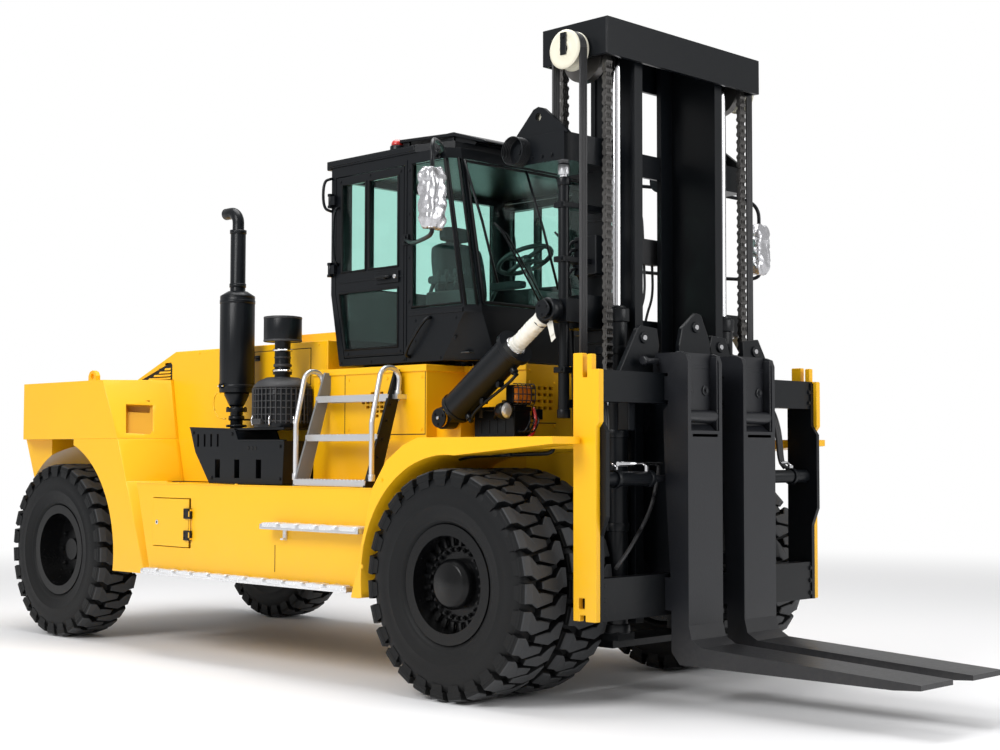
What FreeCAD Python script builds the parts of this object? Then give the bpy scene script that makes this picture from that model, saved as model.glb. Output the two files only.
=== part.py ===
import FreeCAD, Part
import Sketcher
import math
import os
import re

# Heavy counterbalance forklift. +X points forward to the fork tips, +Y to the operator's left, +Z up.
# The origin is on the floor, midway between the rear of the counterweight and the fork tips.

doc = FreeCAD.newDocument("heavy_forklift")
sheet = doc.addObject("Spreadsheet::Sheet", "sizes")
nodes = []

sizeValues = {
    # running gear
    "frontAxleX": 1390, "wheelbase": 4670, "wheelDiameter": 1380, "tyreWidth": 360,
    "twinSpacing": 400, "frontTrackHalf": 1005, "rearTrackHalf": 1060, "kingpinY": 720,
    "beadRadius": 305, "flangeRadius": 356, "flangeWall": 18, "rimWall": 16, "rimWidth": 292,
    "lugCount": 27, "lugWide": 100, "lugDepth": 48, "spindleRadius": 110, "hubRadius": 235,
    "hubCapRadius": 146, "discWall": 30,
    "fitGap": 0.3, "runningGap": 6,
    "axleTubeRadius": 150, "diffRadius": 245, "brakeRadius": 225, "axleTubeHalf": 530,
    "steerBeamHalf": 130, "steerBeamEnd": 585, "rearSpindleRadius": 85, "rearHubRadius": 160,
    "rearCapRadius": 85, "kingpinRadius": 45, "knuckleHeight": 230, "earHeight": 60,
    # frame
    "railY": 452, "railWall": 40, "railTop": 1240, "railBottom": 620, "railNotch": 880,
    "railNotchX": 1100, "neckBottom": 1010,
    "railRearX": -2430, "neckHalf": 250,
    "pivotX": 1750, "pivotZ": 420, "pivotRadius": 45,
    # body
    "seamZ": 1575, "weightRearX": -4010, "weightFrontX": -2250, "creaseTopX": -2585, "creaseSeamX": -2360,
    "creaseTankX": -2235, "creaseFootX": -1970, "seamHalf": 850, "weightTop": 2030, "bodyHalf": 1250,
    "archRadius": 880,
    "hoodTop": 2250, "hoodHalf": 830, "hoodFrontX": -360, "sheetWall": 20, "slopeFootX": -2810,
    "slopeTopX": -2220,
    "tankTop": 1243, "tankBottom": 620, "tankInnerY": 498, "tankOuterY": 1280,
    "tankRearX": -2040, "tankFrontX": 685, "doorRearX": -1815, "doorFrontX": -1335, "doorLow": 785,
    "doorHigh": 1140,
    "hingeX": -1327, "hingeY": 1293, "ladderRearX": -190, "ladderFrontX": 540, "ladderFootY": 1200,
    "stackX": -1170, "stackY": 1010, "mufflerRadius": 125, "cleanerX": -590, "cleanerY": 1045,
    "cleanerRadius": 195,
    "deckTop": 2030, "deckHalf": 950, "deckNarrow": 610, "deckStepX": 780, "deckFrontX": 1335,
    "fenderTop": 1560, "fenderOuterY": 1360, "fenderInnerY": 632, "fenderArch": 765,
    "fenderFrontX": 2250, "fenderNotchX": 1950, "swingRadius": 900,
    # cab
    "cabHalf": 850, "cabFloor": 2060, "cabTop": 3440, "cabWall": 45, "postWide": 15,
    "glassWall": 8, "doorGap": 6, "sillZ": 2370, "waistZ": 2560, "sillSideX": 1022, "roofSideX": 835,
    "sillNoseX": 1090, "roofNoseX": 890, "noseY": 760, "doorHingeX": -290, "doorHingeY": 872,
    # mast
    "mastFoot": 300, "mastTop": 3420, "outerRearX": 1650, "outerDepth": 260, "outerY": 450,
    "channelWall": 35, "flangeReach": 50, "innerDepth": 386, "innerEdgeY": 440,
    "innerFoot": 450, "beamDepth": 225, "beamTop": 4062, "beamHalf": 772,
    "beamRearX": 1623, "beamFrontX": 2147, "beamWall": 30, "innerTipY": 250,
    "sheaveRadius": 155, "sheaveX": 1890, "pulleyX": 1905, "pulleyRadius": 100, "hoseThick": 18,
    "liftX": 2010, "liftY": 530, "liftBarrelRadius": 68, "liftRodRadius": 30,
    "liftBarrelFoot": 400, "liftBarrelTop": 2330,
    "chainY": 675, "chainX": 2065, "chainWide": 55, "chainThick": 40,
    "tiltY": 920, "tiltBaseX": 940, "tiltBaseZ": 1687, "tiltEyeX": 1830, "tiltEyeZ": 2320,
    "tiltBarrelRadius": 100, "tiltRodRadius": 55, "tiltBarrelLength": 740, "tiltPinRadius": 40,
    "tiltEyeHalf": 45, "rodPinRadius": 27, "rodBoreRadius": 47, "pinGap": 15,
    # carriage and forks
    "carriageHalf": 1070, "barRearX": 2250, "barFrontX": 2340, "lowBarBottom": 520,
    "lowBarTop": 760, "topBarBottom": 1760, "topBarTop": 1940, "endPlateWall": 40,
    "endPlateFrontX": 2366, "endPlateRearX": 2190, "rollerPlateY": 235, "rollerPlateWall": 40,
    "forkWide": 330, "leftForkInner": 55, "rightForkInner": 160, "forkThick": 110, "shankFrontX": 2520,
    "shankFootX": 2392, "shankHeadX": 2336,
    "bladeBottom": 240, "tipX": 4010, "tipThick": 28, "tipLift": 12, "forkTop": 2060, "forkCorner": 55,
    "shiftX": 2298, "shiftZ": 1320, "shiftRodRadius": 20, "shiftRodReach": 565, "shiftTubeEnd": 560,
}

cell = 0
for alias, number in sizeValues.items():
    cell += 1
    sheet.set(f"A{cell}", alias)
    sheet.set(f"B{cell}", str(number))
    sheet.setAlias(f"B{cell}", alias)
doc.recompute()

# Places worked out from the driving sizes, as formulas in the sheet's words.
formulas = {
    "wheelRadius": "wheelDiameter / 2",
    "rearAxleX": "frontAxleX - wheelbase",
    "outerFrontX": "outerRearX + outerDepth",
    "outerFlangeY": "outerY - flangeReach",
    "innerRearX": "outerRearX + channelWall + runningGap + 6",
    "innerFrontX": "innerRearX + innerDepth",
    "bladeTop": "bladeBottom + forkThick",
    "beamBottom": "beamTop - beamDepth",
    "sheaveZ": "beamTop - 194",
    "pulleyZ": "beamTop - 182",
    "roofTop": "cabTop + 50",
    "endPlateOuterY": "carriageHalf + endPlateWall",
}


def expand(text):
    """Turn a formula in the sheet's words into a FreeCAD expression."""
    def swap(match):
        word = match.group(0)
        if word in formulas:
            return "(" + expand(formulas[word]) + ")"
        return "sizes." + word if word in sizeValues else word
    return re.sub(r"[A-Za-z_]+", swap, str(text))


def bind(item, prop, text):
    item.setExpression(prop, expand(text))


def number(word):
    """The present number of a size, for shapes made with Part's own functions."""
    return float(sheet.get(word))


def place(item, x=0, y=0, z=0):
    for letter, text in zip("xyz", (x, y, z)):
        bind(item, f"Placement.Base.{letter}", text)
    return item


def box(name, x, y, z):
    """A block between two limits on each axis."""
    item = doc.addObject("Part::Box", name)
    for prop, pair in zip(("Length", "Width", "Height"), (x, y, z)):
        bind(item, prop, f"({pair[1]}) - ({pair[0]})")
    return place(item, x[0], y[0], z[0])


axisTurns = {
    "X": FreeCAD.Rotation(FreeCAD.Vector(0, 1, 0), 90),
    "Y": FreeCAD.Rotation(FreeCAD.Vector(1, 0, 0), -90),
    "Z": FreeCAD.Rotation(),
}


def rod(name, axis, radius, span, x=0, y=0, z=0):
    """A cylinder along an axis: span holds its two ends, and x, y, z the line it lies on."""
    item = doc.addObject("Part::Cylinder", name)
    bind(item, "Radius", radius)
    bind(item, "Height", f"({span[1]}) - ({span[0]})")
    item.Placement = FreeCAD.Placement(FreeCAD.Vector(), axisTurns[axis])
    start = {"x": x, "y": y, "z": z}
    start[axis.lower()] = span[0]
    return place(item, **start)


def slab(name, plane, corners, span):
    """A padded sketch: corners in the plane's two axes, span along its normal."""
    body = doc.addObject("PartDesign::Body", name)
    sketch = body.newObject("Sketcher::SketchObject", name + "_sketch")
    role = plane + "_Plane"
    origin = [feature for feature in body.Origin.OriginFeatures if feature.Role == role][0]
    sketch.AttachmentSupport = [(origin, "")]
    sketch.MapMode = "FlatFace"
    drawLoop(sketch, corners)
    low, high = span
    bind(sketch, "AttachmentOffset.Base.z", f"0 - ({high})" if plane == "XZ" else low)
    pad = body.newObject("PartDesign::Pad", name + "_pad")
    pad.Profile = sketch
    bind(pad, "Length", f"({high}) - ({low})")
    return body


def drawLoop(sketch, corners):
    """A closed loop of lines whose corners are bound to the sheet."""
    count = len(corners)
    for index in range(count):
        start = FreeCAD.Vector(10 * math.cos(index), 10 * math.sin(index), 0)
        after = FreeCAD.Vector(10 * math.cos(index + 1), 10 * math.sin(index + 1), 0)
        sketch.addGeometry(Part.LineSegment(start, after), False)
    for index, (across, up) in enumerate(corners):
        sketch.addConstraint(Sketcher.Constraint("Coincident", index, 2, (index + 1) % count, 1))
        spot = sketch.addConstraint(Sketcher.Constraint("DistanceX", index, 1, 1.0))
        bind(sketch, f"Constraints[{spot}]", across)
        spot = sketch.addConstraint(Sketcher.Constraint("DistanceY", index, 1, 1.0))
        bind(sketch, f"Constraints[{spot}]", up)


def turned(name, corners):
    """A revolved sketch about the Y axis: corners are (radius, place along the axis)."""
    body = doc.addObject("PartDesign::Body", name)
    sketch = body.newObject("Sketcher::SketchObject", name + "_sketch")
    origin = [feature for feature in body.Origin.OriginFeatures if feature.Role == "XY_Plane"][0]
    sketch.AttachmentSupport = [(origin, "")]
    sketch.MapMode = "FlatFace"
    drawLoop(sketch, corners)
    spin = body.newObject("PartDesign::Revolution", name + "_spin")
    spin.Profile = sketch
    spin.ReferenceAxis = (sketch, ["V_Axis"])
    spin.Angle = 360
    return body


def tier(name, lowOutline, lowZ, highOutline, highZ):
    """A straight-sided loft between two level outlines."""
    sections = []
    for part, outline, level in (("low", lowOutline, lowZ), ("high", highOutline, highZ)):
        sketch = doc.addObject("Sketcher::SketchObject", f"{name}_{part}")
        drawLoop(sketch, outline)
        bind(sketch, "Placement.Base.z", level)
        sections.append(sketch)
    loft = doc.addObject("Part::Loft", name)
    loft.Sections = sections
    loft.Solid = True
    loft.Ruled = True
    return loft


def fuse(name, *pieces):
    item = doc.addObject("Part::MultiFuse", name)
    item.Shapes = list(pieces)
    return item


def group(name, *pieces):
    item = doc.addObject("Part::Compound", name)
    item.Links = list(pieces)
    return item


def cut(name, base, *tools):
    item = doc.addObject("Part::Cut", name)
    item.Base = base
    item.Tool = tools[0] if len(tools) == 1 else fuse(name + "_tools", *tools)
    return item


def mirrored(name, source):
    item = doc.addObject("Part::Mirroring", name)
    item.Source = source
    item.Normal = FreeCAD.Vector(0, 1, 0)
    return item


def both(name, piece):
    """The piece and its mirror image on the other side of the centre plane."""
    return group(name, piece, mirrored(name + "_far", piece))


def node(label, item):
    item.Label = label
    nodes.append(item)
    return item


def tubeRun(name, points, radius, bend):
    """A round tube along straight runs joined by tangent arcs of one bend radius."""
    edges = []
    last = points[0]
    for before, corner, after in zip(points, points[1:], points[2:]):
        back = (before - corner).normalize()
        ahead = (after - corner).normalize()
        half = back.getAngle(ahead) / 2
        reach = bend / math.tan(half)
        middle = corner + (back + ahead).normalize() * (bend / math.sin(half) - bend)
        edges.append(Part.LineSegment(last, corner + back * reach).toShape())
        edges.append(Part.Arc(corner + back * reach, middle, corner + ahead * reach).toShape())
        last = corner + ahead * reach
    edges.append(Part.LineSegment(last, points[-1]).toShape())
    path = Part.Wire(edges)
    start = points[1] - points[0]
    ring = Part.Wire([Part.Circle(points[0], start, radius).toShape()])
    item = doc.addObject("Part::Feature", name)
    item.Shape = path.makePipeShell([ring], True, False)
    return item


def point(x, y, z):
    return FreeCAD.Vector(x, y, z)


# ---------------------------------------------------------------- wheels

def tyre(name, y):
    """A plain tyre about its own axle line, out to the tips of its lugs."""
    bead = "rimWidth / 2 - flangeWall - fitGap"
    half = "tyreWidth / 2"
    side = [
        ("beadRadius + fitGap", bead),
        ("flangeRadius + fitGap", bead),
        ("flangeRadius + 16", f"{half} - 30"),
        ("flangeRadius + 74", f"{half} - 6"),
        ("flangeRadius + 164", half),
        ("wheelRadius - 88", f"{half} - 8"),
        ("wheelRadius - lugDepth", f"{half} - 50"),
    ]
    far = [(radius, f"0 - ({across})") for radius, across in reversed(side)]
    carcass = place(turned(name, side + far), y=y)
    return fuse(name + "Lugged", carcass, *treadBars(name + "Bar", y))


def treadBars(name, y):
    """Straight lugs across the tread, cut to the tyre's outline by starting inside it."""
    bars = []
    count = int(number("lugCount"))
    for index in range(count):
        bar = doc.addObject("Part::Box", f"{name}{index}")
        bind(bar, "Length", "lugWide")
        bind(bar, "Width", "tyreWidth - 12")
        bind(bar, "Height", "lugDepth + 20")
        bar.Placement = FreeCAD.Placement(FreeCAD.Vector(), FreeCAD.Rotation(FreeCAD.Vector(0, 1, 0),
                360 * index / count))
        angle = f"({360 * index / count})"
        foot = "(wheelRadius - lugDepth - 24)"
        bind(bar, "Placement.Base.x", f"{foot} * sin({angle} * 1 deg) - lugWide / 2 * cos({angle} * 1 deg)")
        bind(bar, "Placement.Base.y", f"({y}) - (tyreWidth - 12) / 2")
        bind(bar, "Placement.Base.z", f"{foot} * cos({angle} * 1 deg) + lugWide / 2 * sin({angle} * 1 deg)")
        bars.append(bar)
    return bars


def rimBand(name, y):
    """The rolled band that the tyre sits in, with a flange at each edge."""
    edge = "rimWidth / 2"
    bead = f"({edge} - flangeWall)"
    inner = "beadRadius - rimWall"
    side = [(inner, edge), ("flangeRadius", edge), ("flangeRadius", bead), ("beadRadius", bead)]
    far = [(radius, f"0 - ({across})") for radius, across in reversed(side)]
    return place(turned(name, side + far), y=y)


def ring(name, outer, inner, low, high):
    """A flat-ended ring about the Y axis."""
    return turned(name, [(inner, low), (outer, low), (outer, high), (inner, high)])


def frontWheel():
    """The left pair of drive wheels, built about the origin: two rims share one hub."""
    half = "twinSpacing / 2"
    bore = "spindleRadius + fitGap"
    tyres = group("frontTyres", tyre("frontTyreOut", half), tyre("frontTyreIn", f"0 - {half}"))
    rims = fuse(
        "frontRims",
        rimBand("frontBandOut", half),
        rimBand("frontBandIn", f"0 - {half}"),
        ring("frontDiscOut", "beadRadius - 8", "hubRadius - 20", f"{half} + 10", f"{half} + 10 + discWall"),
        ring("frontDiscIn", "beadRadius - 8", "hubRadius - 20", f"0 - {half} - 40",
             f"0 - {half} - 40 + discWall"),
        ring("frontHub", "hubRadius", bore, f"0 - {half} - 40", f"{half} + 40"),
        rod("frontCap", "Y", "hubCapRadius", (f"{half} + 40", f"{half} + 100")),
    )
    return tyres, rims


def rearWheel():
    """The left steered wheel, built about the origin: one deep-dished rim."""
    bore = "rearSpindleRadius + fitGap"
    tread = tyre("rearTyre", 0)
    rim = fuse(
        "rearRim",
        rimBand("rearBand", 0),
        ring("rearDisc", "beadRadius - 8", "rearHubRadius - 20", "0 - 60", "0 - 60 + discWall"),
        ring("rearHub", "rearHubRadius", bore, "0 - 110", "0 - 10"),
        rod("rearCap", "Y", "rearCapRadius", ("0 - 10", "30")),
    )
    return tread, rim


def wheelNodes():
    fronts = frontWheel()
    rears = rearWheel()
    for kind, source in zip(("tyre", "rim"), fronts):
        left = group(kind + "FrontLeft", source)
        place(left, "frontAxleX", "frontTrackHalf", "wheelRadius")
        node(kind + "s_front_left", left)
        node(kind + "s_front_right", mirrored(kind + "FrontRight", left))
    for kind, source in zip(("tyre", "rim"), rears):
        left = group(kind + "RearLeft", source)
        place(left, "rearAxleX", "rearTrackHalf", "wheelRadius")
        node(kind + "_rear_left", left)
        node(kind + "_rear_right", mirrored(kind + "RearRight", left))


# ---------------------------------------------------------------- axles

def driveAxle():
    tube = rod("driveTube", "Y", "axleTubeRadius", ("0 - axleTubeHalf", "axleTubeHalf"), x="frontAxleX",
               z="wheelRadius")
    casing = rod("driveCasing", "X", "diffRadius", ("railNotchX + fitGap", "frontAxleX + 190"),
                 z="wheelRadius")
    brake = rod("driveBrake", "Y", "brakeRadius", ("axleTubeHalf - 20",
                                                   "frontTrackHalf - twinSpacing / 2 - rimWidth / 2 - 20"),
                x="frontAxleX", z="wheelRadius")
    spindle = rod("driveSpindle", "Y", "spindleRadius", ("axleTubeHalf - 20",
                                                         "frontTrackHalf + twinSpacing / 2 + 30"),
                  x="frontAxleX", z="wheelRadius")
    side = fuse("driveSide", brake, spindle)
    saddle = box("driveSaddle", ("frontAxleX - 130", "frontAxleX + 130"), ("railY - 4",
            "railY + railWall + 4"),
                 ("wheelRadius + 60", "railNotch"))
    sides = fuse("driveSides", side, mirrored("driveSideFar", side), saddle, mirrored("driveSaddleFar",
            saddle))
    return node("drive_axle", fuse("driveAxle", tube, casing, sides))


def steerAxle():
    height = "wheelRadius"
    earLow = "knuckleHeight / 2 + fitGap"
    beam = box("steerBeam", ("rearAxleX - steerBeamHalf", "rearAxleX + steerBeamHalf"),
               ("0 - steerBeamEnd", "steerBeamEnd"),
               (f"{height} - {earLow} - earHeight", f"{height} + {earLow} + earHeight"))
    ears = []
    for name, low, high in (("Top", earLow, f"{earLow} + earHeight"), ("Low",
            f"0 - ({earLow} + earHeight)", f"0 - ({earLow})")):
        ears.append(box("steerEar" + name, ("rearAxleX - 75", "rearAxleX + 75"), ("steerBeamEnd - 5",
                "kingpinY + 65"),
                        (f"{height} + {low}", f"{height} + {high}")))
    ears = fuse("steerEars", *ears)
    bore = rod("steerBore", "Z", "kingpinRadius + fitGap", (f"{height} - 400", f"{height} + 400"),
               x="rearAxleX", y="kingpinY")
    side = cut("steerSide", ears, bore)
    saddle = box("steerSaddle", ("rearAxleX - 110", "rearAxleX + 110"), (-110, 110),
                 (f"{height} + knuckleHeight / 2", "neckBottom"))
    ram = rod("steerRam", "Y", 70, ("0 - 420", "420"), x="rearAxleX - steerBeamHalf - 50", z=height)
    return node("steer_axle", fuse("steerAxle", beam, side, mirrored("steerSideFar", side), saddle, ram))


def knuckles():
    height = "wheelRadius"
    block = box("knuckleBlock", ("rearAxleX - 95", "rearAxleX + 95"), ("kingpinY - 80", "kingpinY + 80"),
                (f"{height} - knuckleHeight / 2", f"{height} + knuckleHeight / 2"))
    pin = rod("knucklePin", "Z", "kingpinRadius", (f"{height} - knuckleHeight / 2 - earHeight",
                                                   f"{height} + knuckleHeight / 2 + earHeight"),
              x="rearAxleX", y="kingpinY")
    spindle = rod("knuckleSpindle", "Y", "rearSpindleRadius", ("kingpinY", "rearTrackHalf - 16"),
                  x="rearAxleX", z=height)
    left = fuse("knuckleLeft", block, pin, spindle)
    node("knuckle_left", left)
    node("knuckle_right", mirrored("knuckleRight", left))


# ---------------------------------------------------------------- frame and body

def chassisFrame():
    """Two deep side plates with the mast's pivot ears at the front and a narrow neck over the steer axle."""
    plate = slab("railPlate", "XZ", [
        ("railRearX", "railBottom"),
        ("railNotchX", "railBottom"),
        ("railNotchX", "railNotch"),
        ("pivotX - 160", "railNotch"),
        ("pivotX - 90", "pivotZ - 50"),
        ("pivotX - 50", "pivotZ - 85"),
        ("pivotX + 50", "pivotZ - 85"),
        ("pivotX + 85", "pivotZ"),
        ("pivotX + 60", "pivotZ + 90"),
        ("pivotX - 60", "railTop"),
        ("railRearX", "railTop"),
    ], ("railY", "railY + railWall"))
    pin = rod("pivotPin", "Y", "pivotRadius", ("outerY - channelWall + 1", "railY + railWall"),
              x="pivotX", z="pivotZ")
    side = fuse("railSide", plate, pin)
    inner = ("0 - railY - 2", "railY + 2")
    front = box("frameFront", ("railNotchX - 40", "railNotchX"), inner, ("railBottom", "railTop"))
    middle = box("frameMiddle", ("0 - 700", "0 - 660"), inner, ("railBottom", "railTop"))
    rear = box("frameRear", ("railRearX", "railRearX + 50"), inner, ("railBottom", "seamZ"))
    deck = box("frameDeck", ("railRearX", "railNotchX"), inner, ("railTop - 30", "railTop"))
    neck = box("frameNeck", ("weightRearX + 420 + fitGap", "railRearX + 10"), ("0 - neckHalf",
            "neckHalf"), ("neckBottom", "seamZ"))
    return node("chassis_frame", fuse("chassisFrame", side, mirrored("railSideFar", side), front, middle,
                                      rear, deck, neck))


def counterweight():
    half = "bodyHalf"
    rear = [("weightRearX", "half - 150"), ("weightRearX + 220", "half")]
    front = [("crease", "half"), ("seam", "seamHalf")]

    def outline(crease, seam):
        """The plan from the rear round the flank to the hood, with the flank's crease at one place."""
        near = [(x.replace("crease", crease).replace("seam", seam), y.replace("half", half)) for x,
                y in rear + front]
        return [(x, f"0 - ({y})") for x, y in near] + list(reversed(near))

    upper = tier("weightUpper", outline("creaseSeamX", "weightFrontX + 80"), "seamZ",
                 outline("creaseTopX", "weightFrontX"), "weightTop")
    tail = slab("weightTail", "XZ", [
        ("weightRearX", "seamZ"),
        ("weightRearX + 150", "1240"),
        ("weightRearX + 420", "1240"),
        ("weightRearX + 420", "seamZ"),
    ], ("0 - bodyHalf + 150", "bodyHalf - 150"))
    swing = doc.addObject("Part::Sphere", "weightSwing")
    bind(swing, "Radius", "swingRadius")
    place(swing, "rearAxleX", "kingpinY", "wheelRadius")
    tail = cut("weightTailCut", tail, swing, mirrored("weightSwingFar", swing))
    across = (850 - 1250) / 350
    along = [(x, 1250 + across * (x + 2587)) for x in (-2490, -2345)]
    pocket = slab("weightPocket", "XY", [
        (along[0][0] + 25, along[0][1] + 20),
        (along[1][0] + 25, along[1][1] + 20),
        (along[1][0] - 45, along[1][1] - 42),
        (along[0][0] - 45, along[0][1] - 42),
    ], (1640, 1870))
    lug = slab("weightLug", "XZ", [
        ("weightRearX + 500", "weightTop"),
        ("weightRearX + 500", "weightTop + 75"),
        ("weightRearX + 522", "weightTop + 108"),
        ("weightRearX + 560", "weightTop + 120"),
        ("weightRearX + 598", "weightTop + 108"),
        ("weightRearX + 620", "weightTop + 75"),
        ("weightRearX + 620", "weightTop"),
    ], (780, 820))
    eye = rod("weightEye", "Y", 24, (700, 900), x="weightRearX + 560", z="weightTop + 70")
    lug = cut("weightLugEye", lug, eye)
    body = cut("weightBody", upper, pocket, mirrored("weightPocketFar", pocket))
    return node("counterweight", fuse("counterweightSolid", body, tail, lug, mirrored("weightLugFar", lug)))


def rearFenders():
    """The panels in front of the steered wheels, cut back to the sweep of the tyre."""
    inner = "bodyHalf - 300"
    rear = "rearAxleX + 280"

    def outline(crease, front, reach, depth):
        """The plan of one panel: its flank turns inwards from the crease to meet the tank or the hood."""
        return [(rear, depth), (rear, "bodyHalf"), (crease, "bodyHalf"), (front, reach), (front, depth)]

    railFace = "railY + railWall + fitGap"
    low = tier("rearFenderLow", outline("creaseFootX", "tankRearX + 170", 1040, inner), "tankBottom - 50",
               outline("creaseTankX", "tankRearX - 20", 1000, inner), "tankTop + 5")
    high = tier("rearFenderHigh", outline("creaseTankX", "weightFrontX + 160", "seamHalf", railFace),
                "tankTop + 5",
                outline("creaseSeamX", "weightFrontX + 80", "seamHalf", railFace), "seamZ")
    plate = fuse("rearFenderPanels", low, high)
    arch = rod("rearFenderArch", "Y", "archRadius", ("kingpinY", 1500), x="rearAxleX", z="wheelRadius")
    swing = doc.addObject("Part::Sphere", "rearFenderSwing")
    bind(swing, "Radius", "swingRadius")
    place(swing, "rearAxleX", "kingpinY", "wheelRadius")
    side = cut("rearFenderSide", plate, arch, swing)
    return node("rear_fenders", both("rearFenders", side))


def hood():
    half = "hoodHalf"
    outline = [
        ("slopeFootX", "weightTop + fitGap"),
        ("slopeTopX", "hoodTop"),
        ("hoodFrontX", "hoodTop"),
        ("hoodFrontX", "tankTop + 7"),
        ("weightFrontX + 160 + fitGap", "tankTop + 7"),
        ("weightFrontX + 80 + fitGap", "seamZ"),
        ("weightFrontX + fitGap", "weightTop + fitGap"),
    ]
    shell = slab("hoodOuter", "XZ", outline, (f"0 - {half}", half))
    hollow = slab("hoodHollow", "XZ", [
        ("slopeTopX + 10", "hoodTop - sheetWall"),
        ("hoodFrontX - sheetWall", "hoodTop - sheetWall"),
        ("hoodFrontX - sheetWall", "tankTop - 50"),
        ("weightFrontX + 160 + sheetWall", "tankTop - 50"),
        ("weightFrontX + 80 + sheetWall", "seamZ"),
        ("weightFrontX + sheetWall", "weightTop + 20"),
        ("slopeFootX + 60", "weightTop + 20"),
    ], (f"0 - {half} + sheetWall", f"{half} - sheetWall"))
    scoop = box("hoodScoop", ("hoodFrontX - 1150", "hoodFrontX - 350"), (-350, 350), ("hoodTop - 5",
            "hoodTop + 110"))
    louvres = []
    for index, (rise, reach) in enumerate(((35, 260), (75, 170), (115, 90))):
        louvres.append(box(f"hoodLouvre{index}", ("slopeTopX - 60 - " + str(reach), "slopeTopX - 60"),
                           (f"0 - {half} - 5", f"{half} + 5"), (f"weightTop + {rise}",
                                   f"weightTop + {rise + 22}")))
    shell = cut("hoodShell", shell, hollow, *louvres)
    return node("engine_hood", fuse("engineHood", shell, scoop))


def engine():
    return node("engine_block", box("engineBlock", ("0 - 1600", "0 - 500"), (-420, 420),
                                    ("railTop + fitGap", 2050)))


def tanks():
    outline = [
        ("tankRearX", "tankTop"),
        ("tankFrontX", "tankTop"),
        ("tankFrontX - 200", "tankBottom"),
        ("tankRearX + 180", "tankBottom"),
    ]
    left = slab("tankLeft", "XZ", outline, ("tankInnerY", "tankOuterY"))
    node("hydraulic_tank_left", left)
    blank = slab("tankBlank", "XZ", outline, ("0 - tankOuterY", "0 - tankInnerY"))
    pocket = box("tankPocket", ("doorRearX", "doorFrontX"), ("0 - tankOuterY - 10",
                                                             "0 - tankOuterY + 150"), ("doorLow",
                                                                     "doorHigh"))
    lugs = []
    for index, level in enumerate(("doorLow + 60", "doorHigh - 90")):
        lugs.append(box(f"tankLug{index}", ("doorFrontX - 10", "doorFrontX + 26"), ("0 - tankOuterY - 22",
                "0 - tankOuterY + 5"),
                        (level, f"{level} + 14")))
    pin = rod("tankHinge", "Z", 5, ("doorLow + 60", "doorHigh - 76"), x="hingeX", y="0 - hingeY")
    node("fuel_tank_right", fuse("fuelTank", cut("tankCut", blank, pocket), *lugs, pin))
    panel = box("tankDoorPanel", ("doorRearX + doorGap", "doorFrontX - doorGap - 14"),
                ("0 - tankOuterY - 4", "0 - tankOuterY + 4"),
                ("doorLow + doorGap", "doorHigh - doorGap"))
    barrels = []
    for index, level in enumerate(("doorLow + 60 + 14 + fitGap", "doorHigh - 90 - 40 - fitGap")):
        knuckle = rod(f"tankDoorBarrel{index}", "Z", 11, (level, f"{level} + 40"), x="hingeX", y="0 - hingeY")
        strap = box(f"tankDoorStrap{index}", ("doorFrontX - doorGap - 40", "hingeX"), ("0 - hingeY - 5",
                "0 - hingeY + 3"),
                    (level, f"{level} + 40"))
        foot = box(f"tankDoorFoot{index}", ("doorFrontX - doorGap - 40", "doorFrontX - doorGap - 15"),
                   ("0 - hingeY - 5", "0 - tankOuterY"), (level, f"{level} + 40"))
        barrels += [knuckle, strap, foot]
    solid = fuse("tankDoorSolid", panel, *barrels)
    bore = rod("tankDoorBore", "Z", "5 + fitGap", ("doorLow", "doorHigh"), x="hingeX", y="0 - hingeY")
    node("tank_door", cut("tankDoor", solid, bore))


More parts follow.
